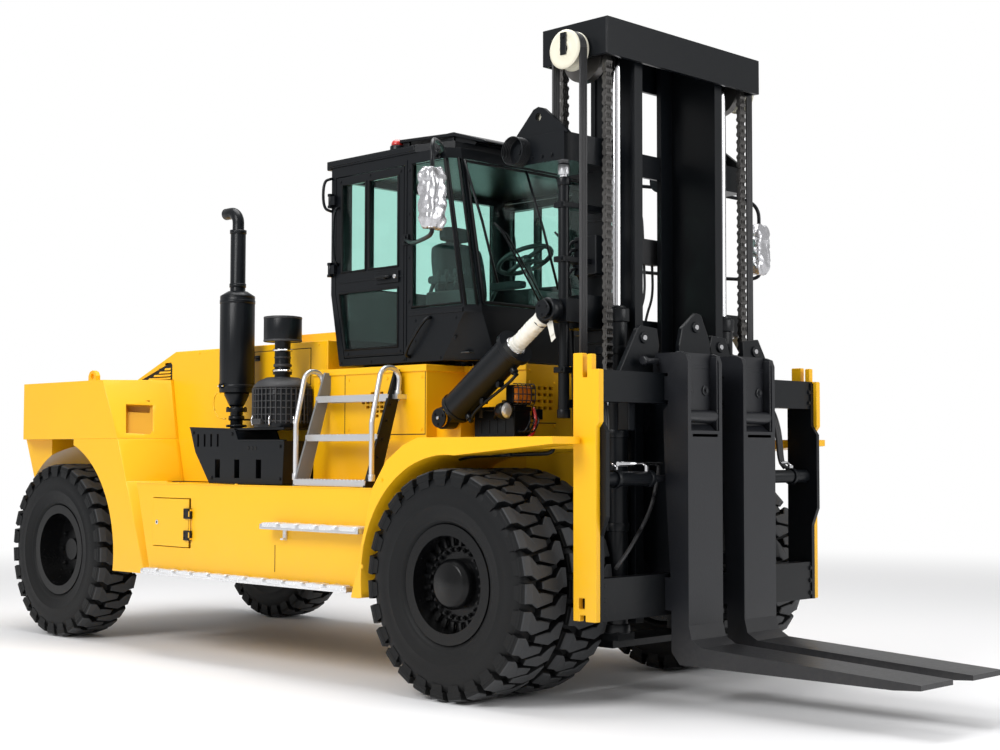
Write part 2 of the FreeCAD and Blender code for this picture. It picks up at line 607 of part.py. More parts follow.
def deck():
    """The yellow platform under the cab, hollow below, with the tilt cylinders' base brackets."""
    wide = box("deckWide", ("hoodFrontX", "deckStepX"), ("0 - deckHalf", "deckHalf"), ("tankTop + 7",
            "deckTop"))
    narrow = box("deckNarrowBlock", ("deckStepX - 5", "deckFrontX"), ("0 - deckNarrow", "deckNarrow"),
                 ("tankTop + 7", "deckTop"))
    hollow = box("deckHollow", ("hoodFrontX + sheetWall", "deckStepX - sheetWall"),
                 ("0 - deckHalf + sheetWall", "deckHalf - sheetWall"), ("tankTop", "deckTop - sheetWall"))
    hollowFront = box("deckHollowFront", ("deckStepX - 60", "deckFrontX - sheetWall"),
                      ("0 - deckNarrow + sheetWall", "deckNarrow - sheetWall"), ("tankTop",
                              "deckTop - sheetWall"))
    vents = []
    for row, count in enumerate((1, 3, 5, 7, 5, 3, 1)):
        for column in range(count):
            x = 300 + (column - (count - 1) / 2) * 46
            z = 1800 - (row - 3) * 30
            vents.append(box(f"deckVent{row}_{column}", (x - 16, x + 16), (-1000, 1000), (z - 9, z + 9)))
    for row in range(4):
        for column in range(4):
            y = 380 + column * 52
            z = 1880 - row * 42
            for side in (1, -1):
                vents.append(box(f"panelVent{row}_{column}_{side + 1}", ("deckFrontX - 30",
                        "deckFrontX + 10"),
                                 (side * y - 19, side * y + 19), (z - 10, z + 10)))
    hollows = fuse("deckHollows", hollow, hollowFront)
    shell = cut("deckShell", fuse("deckSolid", wide, narrow), hollows, group("deckVents", *vents))
    inward = "tiltY - tiltEyeHalf - pinGap"
    block = box("tiltBlock", ("deckStepX - 4", "deckStepX + 60"), ("deckNarrow - 4", inward),
                ("fenderTop + 5", "tiltBaseZ + 60"))
    ears = [slab("tiltEar", "XZ", [
        ("deckStepX", "fenderTop + 5"),
        ("tiltBaseX + 60", "fenderTop + 5"),
        ("tiltBaseX + 70", "tiltBaseZ + 30"),
        ("tiltBaseX + 30", "tiltBaseZ + 68"),
        ("deckStepX", "tiltBaseZ + 60"),
    ], ("deckNarrow - 4", inward))]
    ears.append(rod("tiltPinCap", "Y", 58, ("tiltY + tiltEyeHalf + 5", "tiltY + tiltEyeHalf + 20"),
                    x="tiltBaseX", z="tiltBaseZ"))
    pin = rod("tiltBasePin", "Y", "tiltPinRadius", (f"{inward} - 10", "tiltY + tiltEyeHalf + 10"),
              x="tiltBaseX", z="tiltBaseZ")
    bracket = fuse("tiltBracket", block, *ears, pin)
    return node("deck_body", fuse("deckBody", shell, bracket, mirrored("tiltBracketFar", bracket)))


def frontFenders():
    outline = [
        ("frontAxleX - 860", "tankBottom - 60"),
        ("frontAxleX - 665", "tankTop + 1"),
        ("frontAxleX - 535", 1417),
        ("frontAxleX - 380", 1515),
        ("frontAxleX - 250", "fenderTop"),
        ("fenderFrontX", "fenderTop"),
        ("fenderFrontX", "fenderTop - 42"),
        ("frontAxleX + 60", "wheelRadius + fenderArch - 4"),
        ("frontAxleX", "wheelRadius"),
        ("frontAxleX - 790", "tankBottom - 60"),
    ]
    plate = slab("fenderPlate", "XZ", outline, ("fenderInnerY", "fenderOuterY"))
    arch = rod("fenderArchCut", "Y", "fenderArch", (400, 1600), x="frontAxleX", z="wheelRadius")
    notch = box("fenderNotch", ("fenderNotchX", "fenderFrontX + 10"), (400, "endPlateOuterY + 20"), (1000,
            1700))
    under = box("fenderUnderDeck", (400, "deckStepX + fitGap"), (600, "deckHalf + fitGap"),
                ("tankTop + 6", 1700))
    return node("front_fenders", both("frontFenders", cut("fenderSide", plate, arch, notch, under)))


def boards():
    board = box("runningBoard", ("tankRearX + 180", "tankFrontX - 210"), ("tankInnerY + 500",
            "tankOuterY + 75"), ("tankBottom - 34", "tankBottom"))
    step = box("midStep", ("0 - 370", "640"), ("tankOuterY", "tankOuterY + 120"), (960, 995))
    return node("side_steps", both("sideSteps", group("stepSide", board, step)))


def ladders():
    """Three treads between two leaning stringers, with a bent handrail at each end."""
    pieces = []
    lean = (number("deckTop") - 1275) / 260
    for index, level in enumerate((1275, 1570, 1830)):
        inward = (level - 1275) / lean
        pieces.append(box(f"tread{index}", ("ladderRearX", "ladderFrontX"),
                          (f"ladderFootY - {inward} - 58", f"ladderFootY - {inward} + 58"),
                          (level - 15, level + 15)))
    for name, x in (("Rear", "ladderRearX"), ("Front", "ladderFrontX - 12")):
        plate = slab("stringer" + name, "YZ", [
            ("ladderFootY - 60", "tankTop"),
            ("ladderFootY + 60", "tankTop"),
            ("ladderFootY - 200", "deckTop - 20"),
            ("deckHalf", "deckTop - 20"),
            ("deckHalf", "deckTop - 140"),
        ], (x, f"{x} + 12"))
        pieces.append(plate)
    solid = fuse("ladderSolid", *pieces)
    rails = []
    foot = number("ladderFootY")
    for name, x in (("Rear", number("ladderRearX") - 22), ("Front", number("ladderFrontX") + 22)):
        run = [point(x, foot + 20, 1290), point(x, foot + 20, 1660), point(x, foot - 60, 2015), point(x,
                foot - 218, 2015), point(x, foot - 200, 1842)]
        rails.append(tubeRun("handrail" + name, run, 17, 75))
        rails.append(box("railSeat" + name, (x - 30, x + 30), ("deckHalf + fitGap", foot - 170), (1815,
                1845)))
        rails.append(rod("railFoot" + name, "X", 12, (str(x - 30 if name == "Front" else x),
                                                      str(x if name == "Front" else x + 30)), y=foot + 20,
                                                      z=1310))
    return node("access_ladders", both("ladders", fuse("ladderLeft", solid, *rails)))


def exhaust():
    """Muffler, stack and rearward tip, on the right-hand tray."""
    line = {"x": "stackX", "y": "0 - stackY"}
    muffler = rod("muffler", "Z", "mufflerRadius", (1900, 2590), **line)
    neck = rod("mufflerNeck", "Z", 45, ("1640 + fitGap", 1905), **line)
    flange = rod("mufflerFlange", "Z", 75, (1760, 1790), **line)
    sleeve = rod("stackSleeve", "Z", 55, (2585, 3070), **line)
    pipe = rod("stackPipe", "Z", 42, (3060, 3130), **line)
    elbow = doc.addObject("Part::Torus", "stackElbow")
    elbow.Radius1 = 80
    elbow.Radius2 = 42
    elbow.Angle3 = 90
    elbow.Placement = FreeCAD.Placement(FreeCAD.Vector(), FreeCAD.Rotation(FreeCAD.Vector(1, 0, 0), 90))
    place(elbow, "stackX - 80", "0 - stackY", 3130)
    tip = rod("stackTip", "X", 42, ("stackX - 150", "stackX - 80"), y="0 - stackY", z=3210)
    return node("exhaust_stack", fuse("exhaustStack", muffler, neck, flange, sleeve, pipe, elbow, tip))


def airCleaner():
    line = {"x": "cleanerX", "y": "0 - cleanerY"}
    return node("air_cleaner", fuse(
        "airCleaner",
        rod("cleanerBody", "Z", "cleanerRadius", ("1640 + fitGap", 1930), **line),
        rod("cleanerShoulder", "Z", 120, (1925, 1985), **line),
        rod("cleanerNeck", "Z", 55, (1925, 2245), **line),
        rod("cleanerClamp", "Z", 66, (2010, 2045), **line),
        rod("cleanerCap", "Z", 132, (2240, 2410), **line),
    ))


def tray():
    outline = [("0 - 1472", 1643), ("0 - 925", 1627), ("0 - 885", 1549), ("0 - 365", 1547), ("0 - 383",
            "tankTop + 7"), ("0 - 1230", "tankTop + 7"), ("0 - 1405", 1472)]
    inside = [("0 - 1457", 1700), ("0 - 377", 1700), ("0 - 395", "tankTop + 19"), ("0 - 1224",
            "tankTop + 19"), ("0 - 1393", 1478)]
    outer = slab("trayOuter", "XZ", outline, ("0 - 1200", "0 - hoodHalf - fitGap"))
    hollow = slab("trayHollow", "XZ", inside, ("0 - 1188", "0 - hoodHalf - 12"))
    shelf = box("trayShelf", ("0 - 1300", "0 - 385"), ("0 - 1190", "0 - hoodHalf - fitGap"), (1625, 1640))
    slots = []
    for index, x in enumerate((-1380, -1300, -1220, -1140)):
        slots.append(box(f"traySlot{index}", (x, x + 22), ("0 - 1230", "0 - 1150"), (1510, 1600)))
    for index, x in enumerate((-1160, -930, -680)):
        slots.append(box(f"trayHole{index}", (x, x + 60), ("0 - 1230", "0 - 1150"), (1290, 1420)))
    return node("exhaust_tray", fuse("exhaustTray", cut("trayShell", outer, hollow, *slots), shelf))


# ---------------------------------------------------------------- cab

def cabOutline(level, inset):
    """The cab's plan at one level, from the rear right corner round by the front."""
    rear, sideFront, front, corner = {
        "floor": ("0 - 210", "817", "1100", "640"),
        "sill": ("0 - 269", "1022", "1090", "760"),
        "waist": ("0 - 305", "989", "1054", "760"),
        "roof": ("0 - 305", "835", "890", "760"),
    }[level]
    half = f"cabHalf - {inset}"
    spots = [
        (f"{rear} + {inset}", half),
        (f"{sideFront} - {inset} / 2", half),
        (f"{front} - {inset}", f"{corner} - {inset} / 2"),
    ]
    near = [(x, f"0 - ({y})") for x, y in spots]
    return near + list(reversed(spots))


def cabBlock(name, inset):
    """The whole cab as a solid, shrunk by an inset."""
    levels = (("floor", f"cabFloor + {inset}"), ("sill", "sillZ"), ("waist", "waistZ"), ("roof",
            f"cabTop - {inset}"))
    tiers = []
    for (low, lowZ), (high, highZ) in zip(levels, levels[1:]):
        tiers.append(tier(f"{name}_{low}", cabOutline(low, inset), lowZ, cabOutline(high, inset), highZ))
    return fuse(name, *tiers)


def doorOutline(gap):
    return [
        (f"0 - 160 + {gap}", f"2110 + {gap}"),
        (f"450 - {gap}", f"2110 + {gap}"),
        (f"450 - {gap}", f"cabTop - 70 - {gap}"),
        (f"0 - 258 + {gap}", f"cabTop - 70 - {gap}"),
        (f"0 - 258 + {gap}", "waistZ"),
    ]


def cab():
    outer = cabBlock("cabOuter", "0")
    inner = cabBlock("cabInner", "cabWall")
    doorway = slab("cabDoorway", "XZ", doorOutline("0"), ("0 - cabHalf - 50", "cabHalf + 50"))
    front = box("cabFrontOpening", (520, 1300), (-1000, 1000), ("sillZ + 40", "cabTop - 70"))
    rear = box("cabRearWindow", (-500, -200), (-700, 700), ("waistZ + 60", "cabTop - 90"))
    shell = cut("cabWalls", outer, inner, doorway, front, rear)
    posts = []
    for name, low, high in (("Side", ("sillSideX", "cabHalf"), ("roofSideX", "cabHalf")), ("Nose",
            ("sillNoseX", "noseY"), ("roofNoseX", "noseY"))):
        squares = []
        for (x, y) in (low, high):
            squares.append([(f"{x} - postWide - 8", f"{y} - postWide - 8"), (x, f"{y} - postWide - 8"),
                            (x, y), (f"{x} - postWide - 8", y)])
        posts.append(tier("cabPost" + name, squares[0], "sillZ + 20", squares[1], "cabTop - 20"))
    posts = fuse("cabPosts", *posts)
    posts = fuse("cabPostsAll", posts, mirrored("cabPostsFar", posts))
    posts = doc_common("cabPostsTrim", posts, outer)
    hinges = doorPins()
    feet = fuse("cabFeet", *[
        rod(f"cabFoot{index}", "Z", 60, ("deckTop + fitGap", "cabFloor + 5"), x=x, y=y)
        for index, (x, y) in enumerate(((-110, 640), (720, 560)))
    ])
    side = fuse("cabSideParts", hinges, feet)
    node("cab_shell", fuse("cabShell", shell, posts, side, mirrored("cabSidePartsFar", side)))
    return posts


def doc_common(name, one, other):
    item = doc.addObject("Part::Common", name)
    item.Base = one
    item.Tool = other
    return item


def cabGlass(posts):
    skin = cut("glassSkin", cabBlock("glassOuter", "14"), cabBlock("glassInner", "(14 + glassWall)"))
    window = box("glassWindow", ("520 + fitGap", 1300), (-1000, 1000), ("sillZ + 40 + fitGap",
            "cabTop - 70 - fitGap"))
    front = cut("glassFront", doc_common("glassWrap", skin, window), posts)
    rear = box("glassRear", (-285, -277), ("0 - 700 + fitGap", "700 - fitGap"), ("waistZ + 60 + fitGap",
            "cabTop - 90 - fitGap"))
    return node("cab_glass", group("cabGlass", front, rear))


def cabRoof():
    lid = slab("roofLid", "XY", [(-345, -860), (560, -860), (850, -770), (850, 770), (560, 860), (-345,
            860)], ("cabTop + fitGap", "roofTop"))
    visor = slab("roofVisor", "XZ", [(380, "roofTop"), (400, "roofTop + 60"), (700, "roofTop + 85"), (880,
            "roofTop + 10"), (850, "roofTop - 5"), (380, "roofTop - 5")], (-600, 600))
    beacon = rod("roofBeacon", "Z", 60, ("roofTop - 5", "roofTop + 65"), x=250, y=-560)
    return node("cab_roof", fuse("cabRoof", lid, visor, beacon))


def cabDoors():
    thick = ("cabHalf - cabWall", "cabHalf")
    plate = slab("doorPlate", "XZ", doorOutline("doorGap"), thick)
    upper = box("doorUpperWindow", (-190, 390), ("cabHalf - 100", "cabHalf + 50"), (2705, "cabTop - 130"))
    lower = slab("doorLowerWindow", "XZ", [(-150, 2170), (390, 2170), (390, 2560), (-215, 2560)],
                 ("cabHalf - 100", "cabHalf + 50"))
    bar = box("doorBar", (60, 95), thick, (2700, "cabTop - 120"))
    frame = fuse("doorFrame", cut("doorCut", plate, upper, lower), bar)
    barrels = []
    for index, level in enumerate((2700, 3180)):
        barrels.append(rod(f"doorBarrel{index}", "Z", 16, (level, level + 60), x="doorHingeX",
                           y="doorHingeY"))
        barrels.append(box(f"doorLeaf{index}", ("doorHingeX", -240), ("cabHalf + fitGap",
                "doorHingeY + 8"), (level, level + 60)))
        barrels.append(box(f"doorLeafFoot{index}", (-251, -240), ("cabHalf - 10", "doorHingeY + 8"),
                           (level, level + 60)))
    solid = fuse("doorSolid", frame, *barrels)
    bore = rod("doorBore", "Z", "8 + fitGap", (2000, 3400), x="doorHingeX", y="doorHingeY")
    left = cut("doorLeft", solid, bore)
    node("cab_door_left", left)
    node("cab_door_right", mirrored("doorRight", left))
    panes = group(
        "doorPanes",
        box("doorPaneRear", ("0 - 190 + fitGap", "60 - fitGap"), ("cabHalf - 26", "cabHalf - 18"),
            ("2705 + fitGap", "cabTop - 130 - fitGap")),
        box("doorPaneFront", ("95 + fitGap", "390 - fitGap"), ("cabHalf - 26", "cabHalf - 18"),
            ("2705 + fitGap", "cabTop - 130 - fitGap")),
        slab("doorPaneLow", "XZ", [(-149.6, 2170.3), (389.7, 2170.3), (389.7, 2559.7), (-214.6, 2559.7)],
             ("cabHalf - 26", "cabHalf - 18")),
    )
    node("door_glass_left", panes)
    node("door_glass_right", mirrored("doorPanesRight", panes))


def doorPins():
    """Hinge pins for the doors, standing off the cab's rear posts."""
    pieces = []
    for index, level in enumerate((2700, 3180)):
        pieces.append(rod(f"doorPin{index}", "Z", 8, (level - 20, level + 80), x="doorHingeX",
                          y="doorHingeY"))
        pieces.append(box(f"doorPinFoot{index}", ("doorHingeX - 16", "doorHingeX + 12"), ("cabHalf",
                "doorHingeY + 14"), (level - 20, level - 1)))
        pieces.append(box(f"doorPinHead{index}", ("doorHingeX - 16", "doorHingeX + 12"), ("cabHalf",
                "doorHingeY + 14"), (level + 61, level + 80)))
    return fuse("doorHinges", *pieces)


def interior():
    floor = "cabFloor + cabWall"
    node("operator_seat", fuse(
        "seat",
        box("seatPedestal", (100, 400), (-180, 180), (floor, "cabFloor + 330")),
        box("seatCushion", (60, 540), (-250, 250), ("cabFloor + 325", "cabFloor + 450")),
        box("seatBack", (0, 130), (-240, 240), ("cabFloor + 440", "cabFloor + 1030")),
    ))
    wheel = doc.addObject("Part::Torus", "steeringRing")
    wheel.Radius1 = 190
    wheel.Radius2 = 16
    spokes = fuse("steeringSolid", wheel, box("spokeAcross", (-180, 180), (-15, 15), (-12, 8)),
                  box("spokeAlong", (-15, 15), (-180, 180), (-12, 8)),
                  rod("steeringHub", "Z", 45, (-40, 15)), rod("steeringStem", "Z", 22, (-420, 0)))
    spokes.Placement = FreeCAD.Placement(FreeCAD.Vector(740, 0, 2790), FreeCAD.Rotation(FreeCAD.Vector(0,
            1, 0), -25))
    node("dash_console", fuse(
        "dash",
        spokes,
        box("dashColumn", (860, 1030), (-300, 300), (floor, "sillZ")),
        box("dashTop", (880, 1010), (-420, 420), ("sillZ - 20", "sillZ + 50")),
    ))


def mirrors():
    shell = box("mirrorShell", (1480, 1600), (1530, 1700), (2752, 3124))
    low = tubeRun("mirrorArmLow", [point(480, 864, 2870), point(900, 1180, 2800), point(1490, 1600,
            2800)], 14, 120)
    high = tubeRun("mirrorArmHigh", [point(470, 864, 3330), point(900, 1180, 3370), point(1540, 1614,
            3300), point(1540, 1614, 3110)], 14, 60)
    foot = box("mirrorFoot", (455, 500), ("cabHalf + fitGap", "cabHalf + 26"), (2840, 2900))
    footHigh = box("mirrorFootHigh", (455, 500), ("cabHalf + fitGap", "cabHalf + 26"), (3300, 3360))
    side = fuse("mirrorSide", shell, low, high, foot, footHigh)
    return node("wing_mirrors", both("wingMirrors", side))


def lamps():
    relays = box("relayBox", (1060, 1410), (645, 800), ("fenderTop", 1755))
    lamp = box("headlamp", (1150, 1430), (645, 800), (1760, 1960))
    foot = box("headlampFoot", (1200, 1300), ("deckNarrow + fitGap", 650), (1800, 1900))
    node("headlamps", both("headlamps", group("headlampSide", fuse("headlampBody", lamp, foot), relays)))


# ---------------------------------------------------------------- mast

def outerMast():
    """Two channels joined by cross members, with the foot, the tilt arms and the lifting eyes."""
    channel = slab("outerChannel", "XY", [
        ("outerRearX", "outerFlangeY"),
        ("outerRearX + channelWall", "outerFlangeY"),
        ("outerRearX + channelWall", "outerY - channelWall"),
        ("outerFrontX - channelWall", "outerY - channelWall"),
        ("outerFrontX - channelWall", "outerFlangeY"),
        ("outerFrontX", "outerFlangeY"),
        ("outerFrontX", "outerY"),
        ("outerRearX", "outerY"),
    ], ("mastFoot", "mastTop"))
    bore = rod("pivotBore", "Y", "pivotRadius + fitGap", ("outerY - channelWall - 5", "outerY + 5"),
               x="pivotX", z="pivotZ")
    channel = cut("outerChannelBored", channel, bore)
    step = box("liftStep", ("outerFrontX - 60", "liftX + liftBarrelRadius"), ("outerY - 3",
            "liftY + liftBarrelRadius + 2"),
               ("liftBarrelFoot - 45", "liftBarrelFoot"))
    inward = "tiltY - tiltEyeHalf - pinGap"
    gusset = box("tiltGusset", ("outerRearX + 50", "outerFrontX"), ("outerY - 3", 700), (2220, 2420))
    arm = box("tiltArm", ("tiltEyeX + 5", "outerFrontX - 10"), (690, inward), ("tiltEyeZ - 70",
            "tiltEyeZ + 70"))
    boss = box("tiltBoss", ("tiltEyeX - 50", "tiltEyeX + 10"), (805, inward), ("tiltEyeZ - 70",
            "tiltEyeZ + 70"))
    ears = [rod("rodPinCap", "Y", 48, ("tiltY + tiltEyeHalf + 12", "tiltY + tiltEyeHalf + 24"),
                x="tiltEyeX", z="tiltEyeZ")]
    pin = rod("rodPin", "Y", "rodPinRadius", (f"{inward} - 10", "tiltY + tiltEyeHalf + 20"), x="tiltEyeX",
              z="tiltEyeZ")
    bracket = box("liftingBracket", (1560, 1920), ("outerY - 3", 900), (3215, 3385))
    nose = rod("liftingNose", "Y", 85, ("outerY - 3", 900), x=1560, z=3300)
    plate = slab("liftingPlate", "XZ", [(1490, 3380), (1940, 3380), (1890, 3430), (1740, 3550), (1700,
            3562), (1660, 3550), (1540, 3430)],
                 (860, 890))
    hole = rod("liftingHole", "Y", 24, (800, 950), x=1700, z=3500)
    eye = fuse("liftingEye", bracket, nose, cut("liftingPlateCut", plate, hole))
    side = fuse("outerSide", channel, step, gusset, arm, boss, *ears, pin, eye)
    members = [
        box("outerTopMember", ("outerRearX - 80", "outerRearX + 4"), ("0 - outerY", "outerY"),
            ("mastTop - 120", "mastTop")),
        box("outerMidMember", ("outerRearX - 60", "outerRearX + 4"), ("0 - outerY", "outerY"), (2200, 2330)),
        box("outerLowMember", ("outerRearX - 40", "outerRearX + 4"), ("0 - outerY", "outerY"), (1150, 1300)),
        box("outerFootPlate", ("outerRearX", "outerFrontX"), ("0 - outerY", "outerY"), ("mastFoot - 15",
                "mastFoot + 25")),
    ]
    return node("outer_mast", fuse("outerMast", side, mirrored("outerSideFar", side), *members))


def liftCylinders():
    barrel = cut(
        "liftBarrelLeft",
        rod("liftBarrelSolid", "Z", "liftBarrelRadius", ("liftBarrelFoot", "liftBarrelTop"), x="liftX",
            y="liftY"),
        rod("liftBarrelBore", "Z", "liftRodRadius + fitGap", ("liftBarrelFoot + 30",
                                                              "liftBarrelTop + 10"), x="liftX", y="liftY"),
    )
    node("lift_barrels", both("liftBarrels", barrel))
    ram = rod("liftRodLeft", "Z", "liftRodRadius", ("liftBarrelFoot + 150", "beamTop - beamWall"),
              x="liftX", y="liftY")
    node("lift_rods", both("liftRods", ram))


def innerMast():
    web = ("outerFlangeY - runningGap - 28", "outerFlangeY - runningGap")
    rail = slab("innerRail", "XY", [
        ("innerRearX", "innerTipY"),
        ("innerRearX + channelWall", "innerTipY"),
        ("innerRearX + channelWall", web[0]),
        ("innerFrontX - channelWall", web[0]),
        ("innerFrontX", web[0]),
        ("innerFrontX", "innerEdgeY"),
        ("innerFrontX - channelWall", "innerEdgeY"),
        ("innerFrontX - channelWall", web[1]),
        ("innerRearX + channelWall", web[1]),
        ("innerRearX + channelWall", "outerY - channelWall - 10"),
        ("innerRearX", "outerY - channelWall - 10"),
    ], ("innerFoot", "beamTop - beamWall"))
    members = []
    for index, (low, high) in enumerate(((700, 860), (1900, 2050), (3250, 3400))):
        members.append(box(f"innerMember{index}", ("innerRearX", "innerRearX + 28"), (f"0 - {web[1]}",
                web[1]), (low, high)))
    return node("inner_mast", fuse("innerMast", rail, mirrored("innerRailFar", rail), *members))


def topBeam():
    block = box("beamBlock", ("beamRearX", "beamFrontX"), ("0 - beamHalf", "beamHalf"), ("beamBottom",
            "beamTop"))
    hollow = box("beamHollow", ("beamRearX + beamWall", "beamFrontX - beamWall"),
                 ("0 - beamHalf + beamWall", "beamHalf - beamWall"),
                 ("beamBottom - 10", "beamTop - beamWall"))
    node("mast_top_beam", cut("topBeam", block, hollow))
    sheave = rod("chainSheave", "Y", "sheaveRadius", ("chainY - chainWide / 2", "chainY + chainWide / 2"),
                 x="sheaveX", z="sheaveZ")
    shaft = rod("sheaveShaft", "Y", 35, ("chainY - 90", "beamHalf - beamWall"), x="sheaveX", z="sheaveZ")
    hanger = box("sheaveHanger", ("sheaveX - 40", "sheaveX + 40"), ("chainY - 90", "chainY - 60"),
                 ("sheaveZ - 45", "beamTop - beamWall"))
    sheaves = fuse("sheaveSide", sheave, shaft, hanger)
    pulley = rod("hosePulley", "Y", "pulleyRadius", ("beamHalf + 14", "beamHalf + 110"), x="pulleyX",
                 z="pulleyZ")
    stub = rod("hosePulleyStub", "Y", 22, ("beamHalf", "beamHalf + 120"), x="pulleyX", z="pulleyZ")
    node("mast_sheaves", both("mastSheaves", group("mastSheaveSide", sheaves, fuse("hosePulleySide",
            pulley, stub))))


def chains():
    half = "chainThick / 2"
    wide = ("chainY - chainWide / 2", "chainY + chainWide / 2")
    front = box("chainFront", (f"chainX - {half}", f"chainX + {half}"), wide, ("topBarTop - 40", "sheaveZ"))
    rearX = "sheaveX - (chainX - sheaveX)"
    rear = box("chainRear", (f"{rearX} - {half}", f"{rearX} + {half}"), wide, ("3385 + fitGap", "sheaveZ"))
    hoseWide = ("beamHalf + 38", "beamHalf + 88")
    hose = box("hoseFront", ("pulleyX + pulleyRadius", "pulleyX + pulleyRadius + hoseThick"), hoseWide,
               ("topBarTop - 40", "pulleyZ"))
    node("front_falls", both("frontFalls", group("frontFallSide", front, hose)))
    rearHose = box("hoseRear", ("pulleyX - pulleyRadius - hoseThick", "pulleyX - pulleyRadius"), hoseWide,
                   ("3385 + fitGap", "pulleyZ"))
    node("rear_falls", both("rearFalls", group("rearFallSide", rear, rearHose)))


def sideTubes():
    tube = rod("sideTube", "Z", 34, (1680, 3130), x=1790, y=760)
    ram = rod("sideRam", "Z", 22, (3120, "3215 - fitGap"), x=1790, y=760)
    clamp = box("sideClamp", (1765, 1815), ("outerY", 765), (1740, 1790))
    return node("mast_side_tubes", both("sideTubes", fuse("sideTubeLeft", tube, ram, clamp)))


def tiltCylinders():
    """Barrel and rod are drawn along X from the base pin, then turned up to the rod's eye."""
    angle = "-1 * atan((tiltEyeZ - tiltBaseZ) / (tiltEyeX - tiltBaseX))"
    length = "sqrt((tiltEyeX - tiltBaseX)^2 + (tiltEyeZ - tiltBaseZ)^2)"
    eye = rod("tiltBaseEye", "Y", 70, ("0 - tiltEyeHalf", "tiltEyeHalf"))
    neck = box("tiltNeck", (0, 110), ("0 - tiltEyeHalf", "tiltEyeHalf"), (-60, 60))
    tube = rod("tiltTube", "X", "tiltBarrelRadius", (95, "tiltBarrelLength"))
    collar = rod("tiltCollar", "X", "tiltBarrelRadius + 20", ("tiltBarrelLength - 36", "tiltBarrelLength"))
    solid = fuse("tiltBarrelSolid", eye, neck, tube, collar)
    bore = rod("tiltBarrelBore", "X", "tiltRodRadius + fitGap", (120, "tiltBarrelLength + 10"))
    pinBore = rod("tiltBaseBore", "Y", "tiltPinRadius + fitGap", ("0 - 200", "200"))
    barrel = cut("tiltBarrel", solid, bore, pinBore)
    shaft = rod("tiltShaft", "X", "tiltRodRadius", (410, f"{length} - 80"))
    rodNeck = box("tiltRodNeck", (f"{length} - 85", length), ("0 - tiltEyeHalf", "tiltEyeHalf"), (-45, 45))
    rodEye = rod("tiltRodEye", "Y", 65, ("0 - tiltEyeHalf", "tiltEyeHalf"), x=length)
    rodBore = rod("tiltRodBore", "Y", "rodBoreRadius", ("0 - 200", "200"), x=length)
    ram = cut("tiltRod", fuse("tiltRodSolid", shaft, rodNeck, rodEye), rodBore)
    for label, item in (("tilt_barrel", barrel), ("tilt_rod", ram)):
        item.Placement = FreeCAD.Placement(FreeCAD.Vector(), FreeCAD.Rotation(FreeCAD.Vector(0, 1, 0), -30))
        place(item, "tiltBaseX", "tiltY", "tiltBaseZ")
        bind(item, "Placement.Rotation.Angle", angle)
        node(label + "_left", item)
        node(label + "_right", mirrored(label + "Right", item))


# ---------------------------------------------------------------- carriage and forks

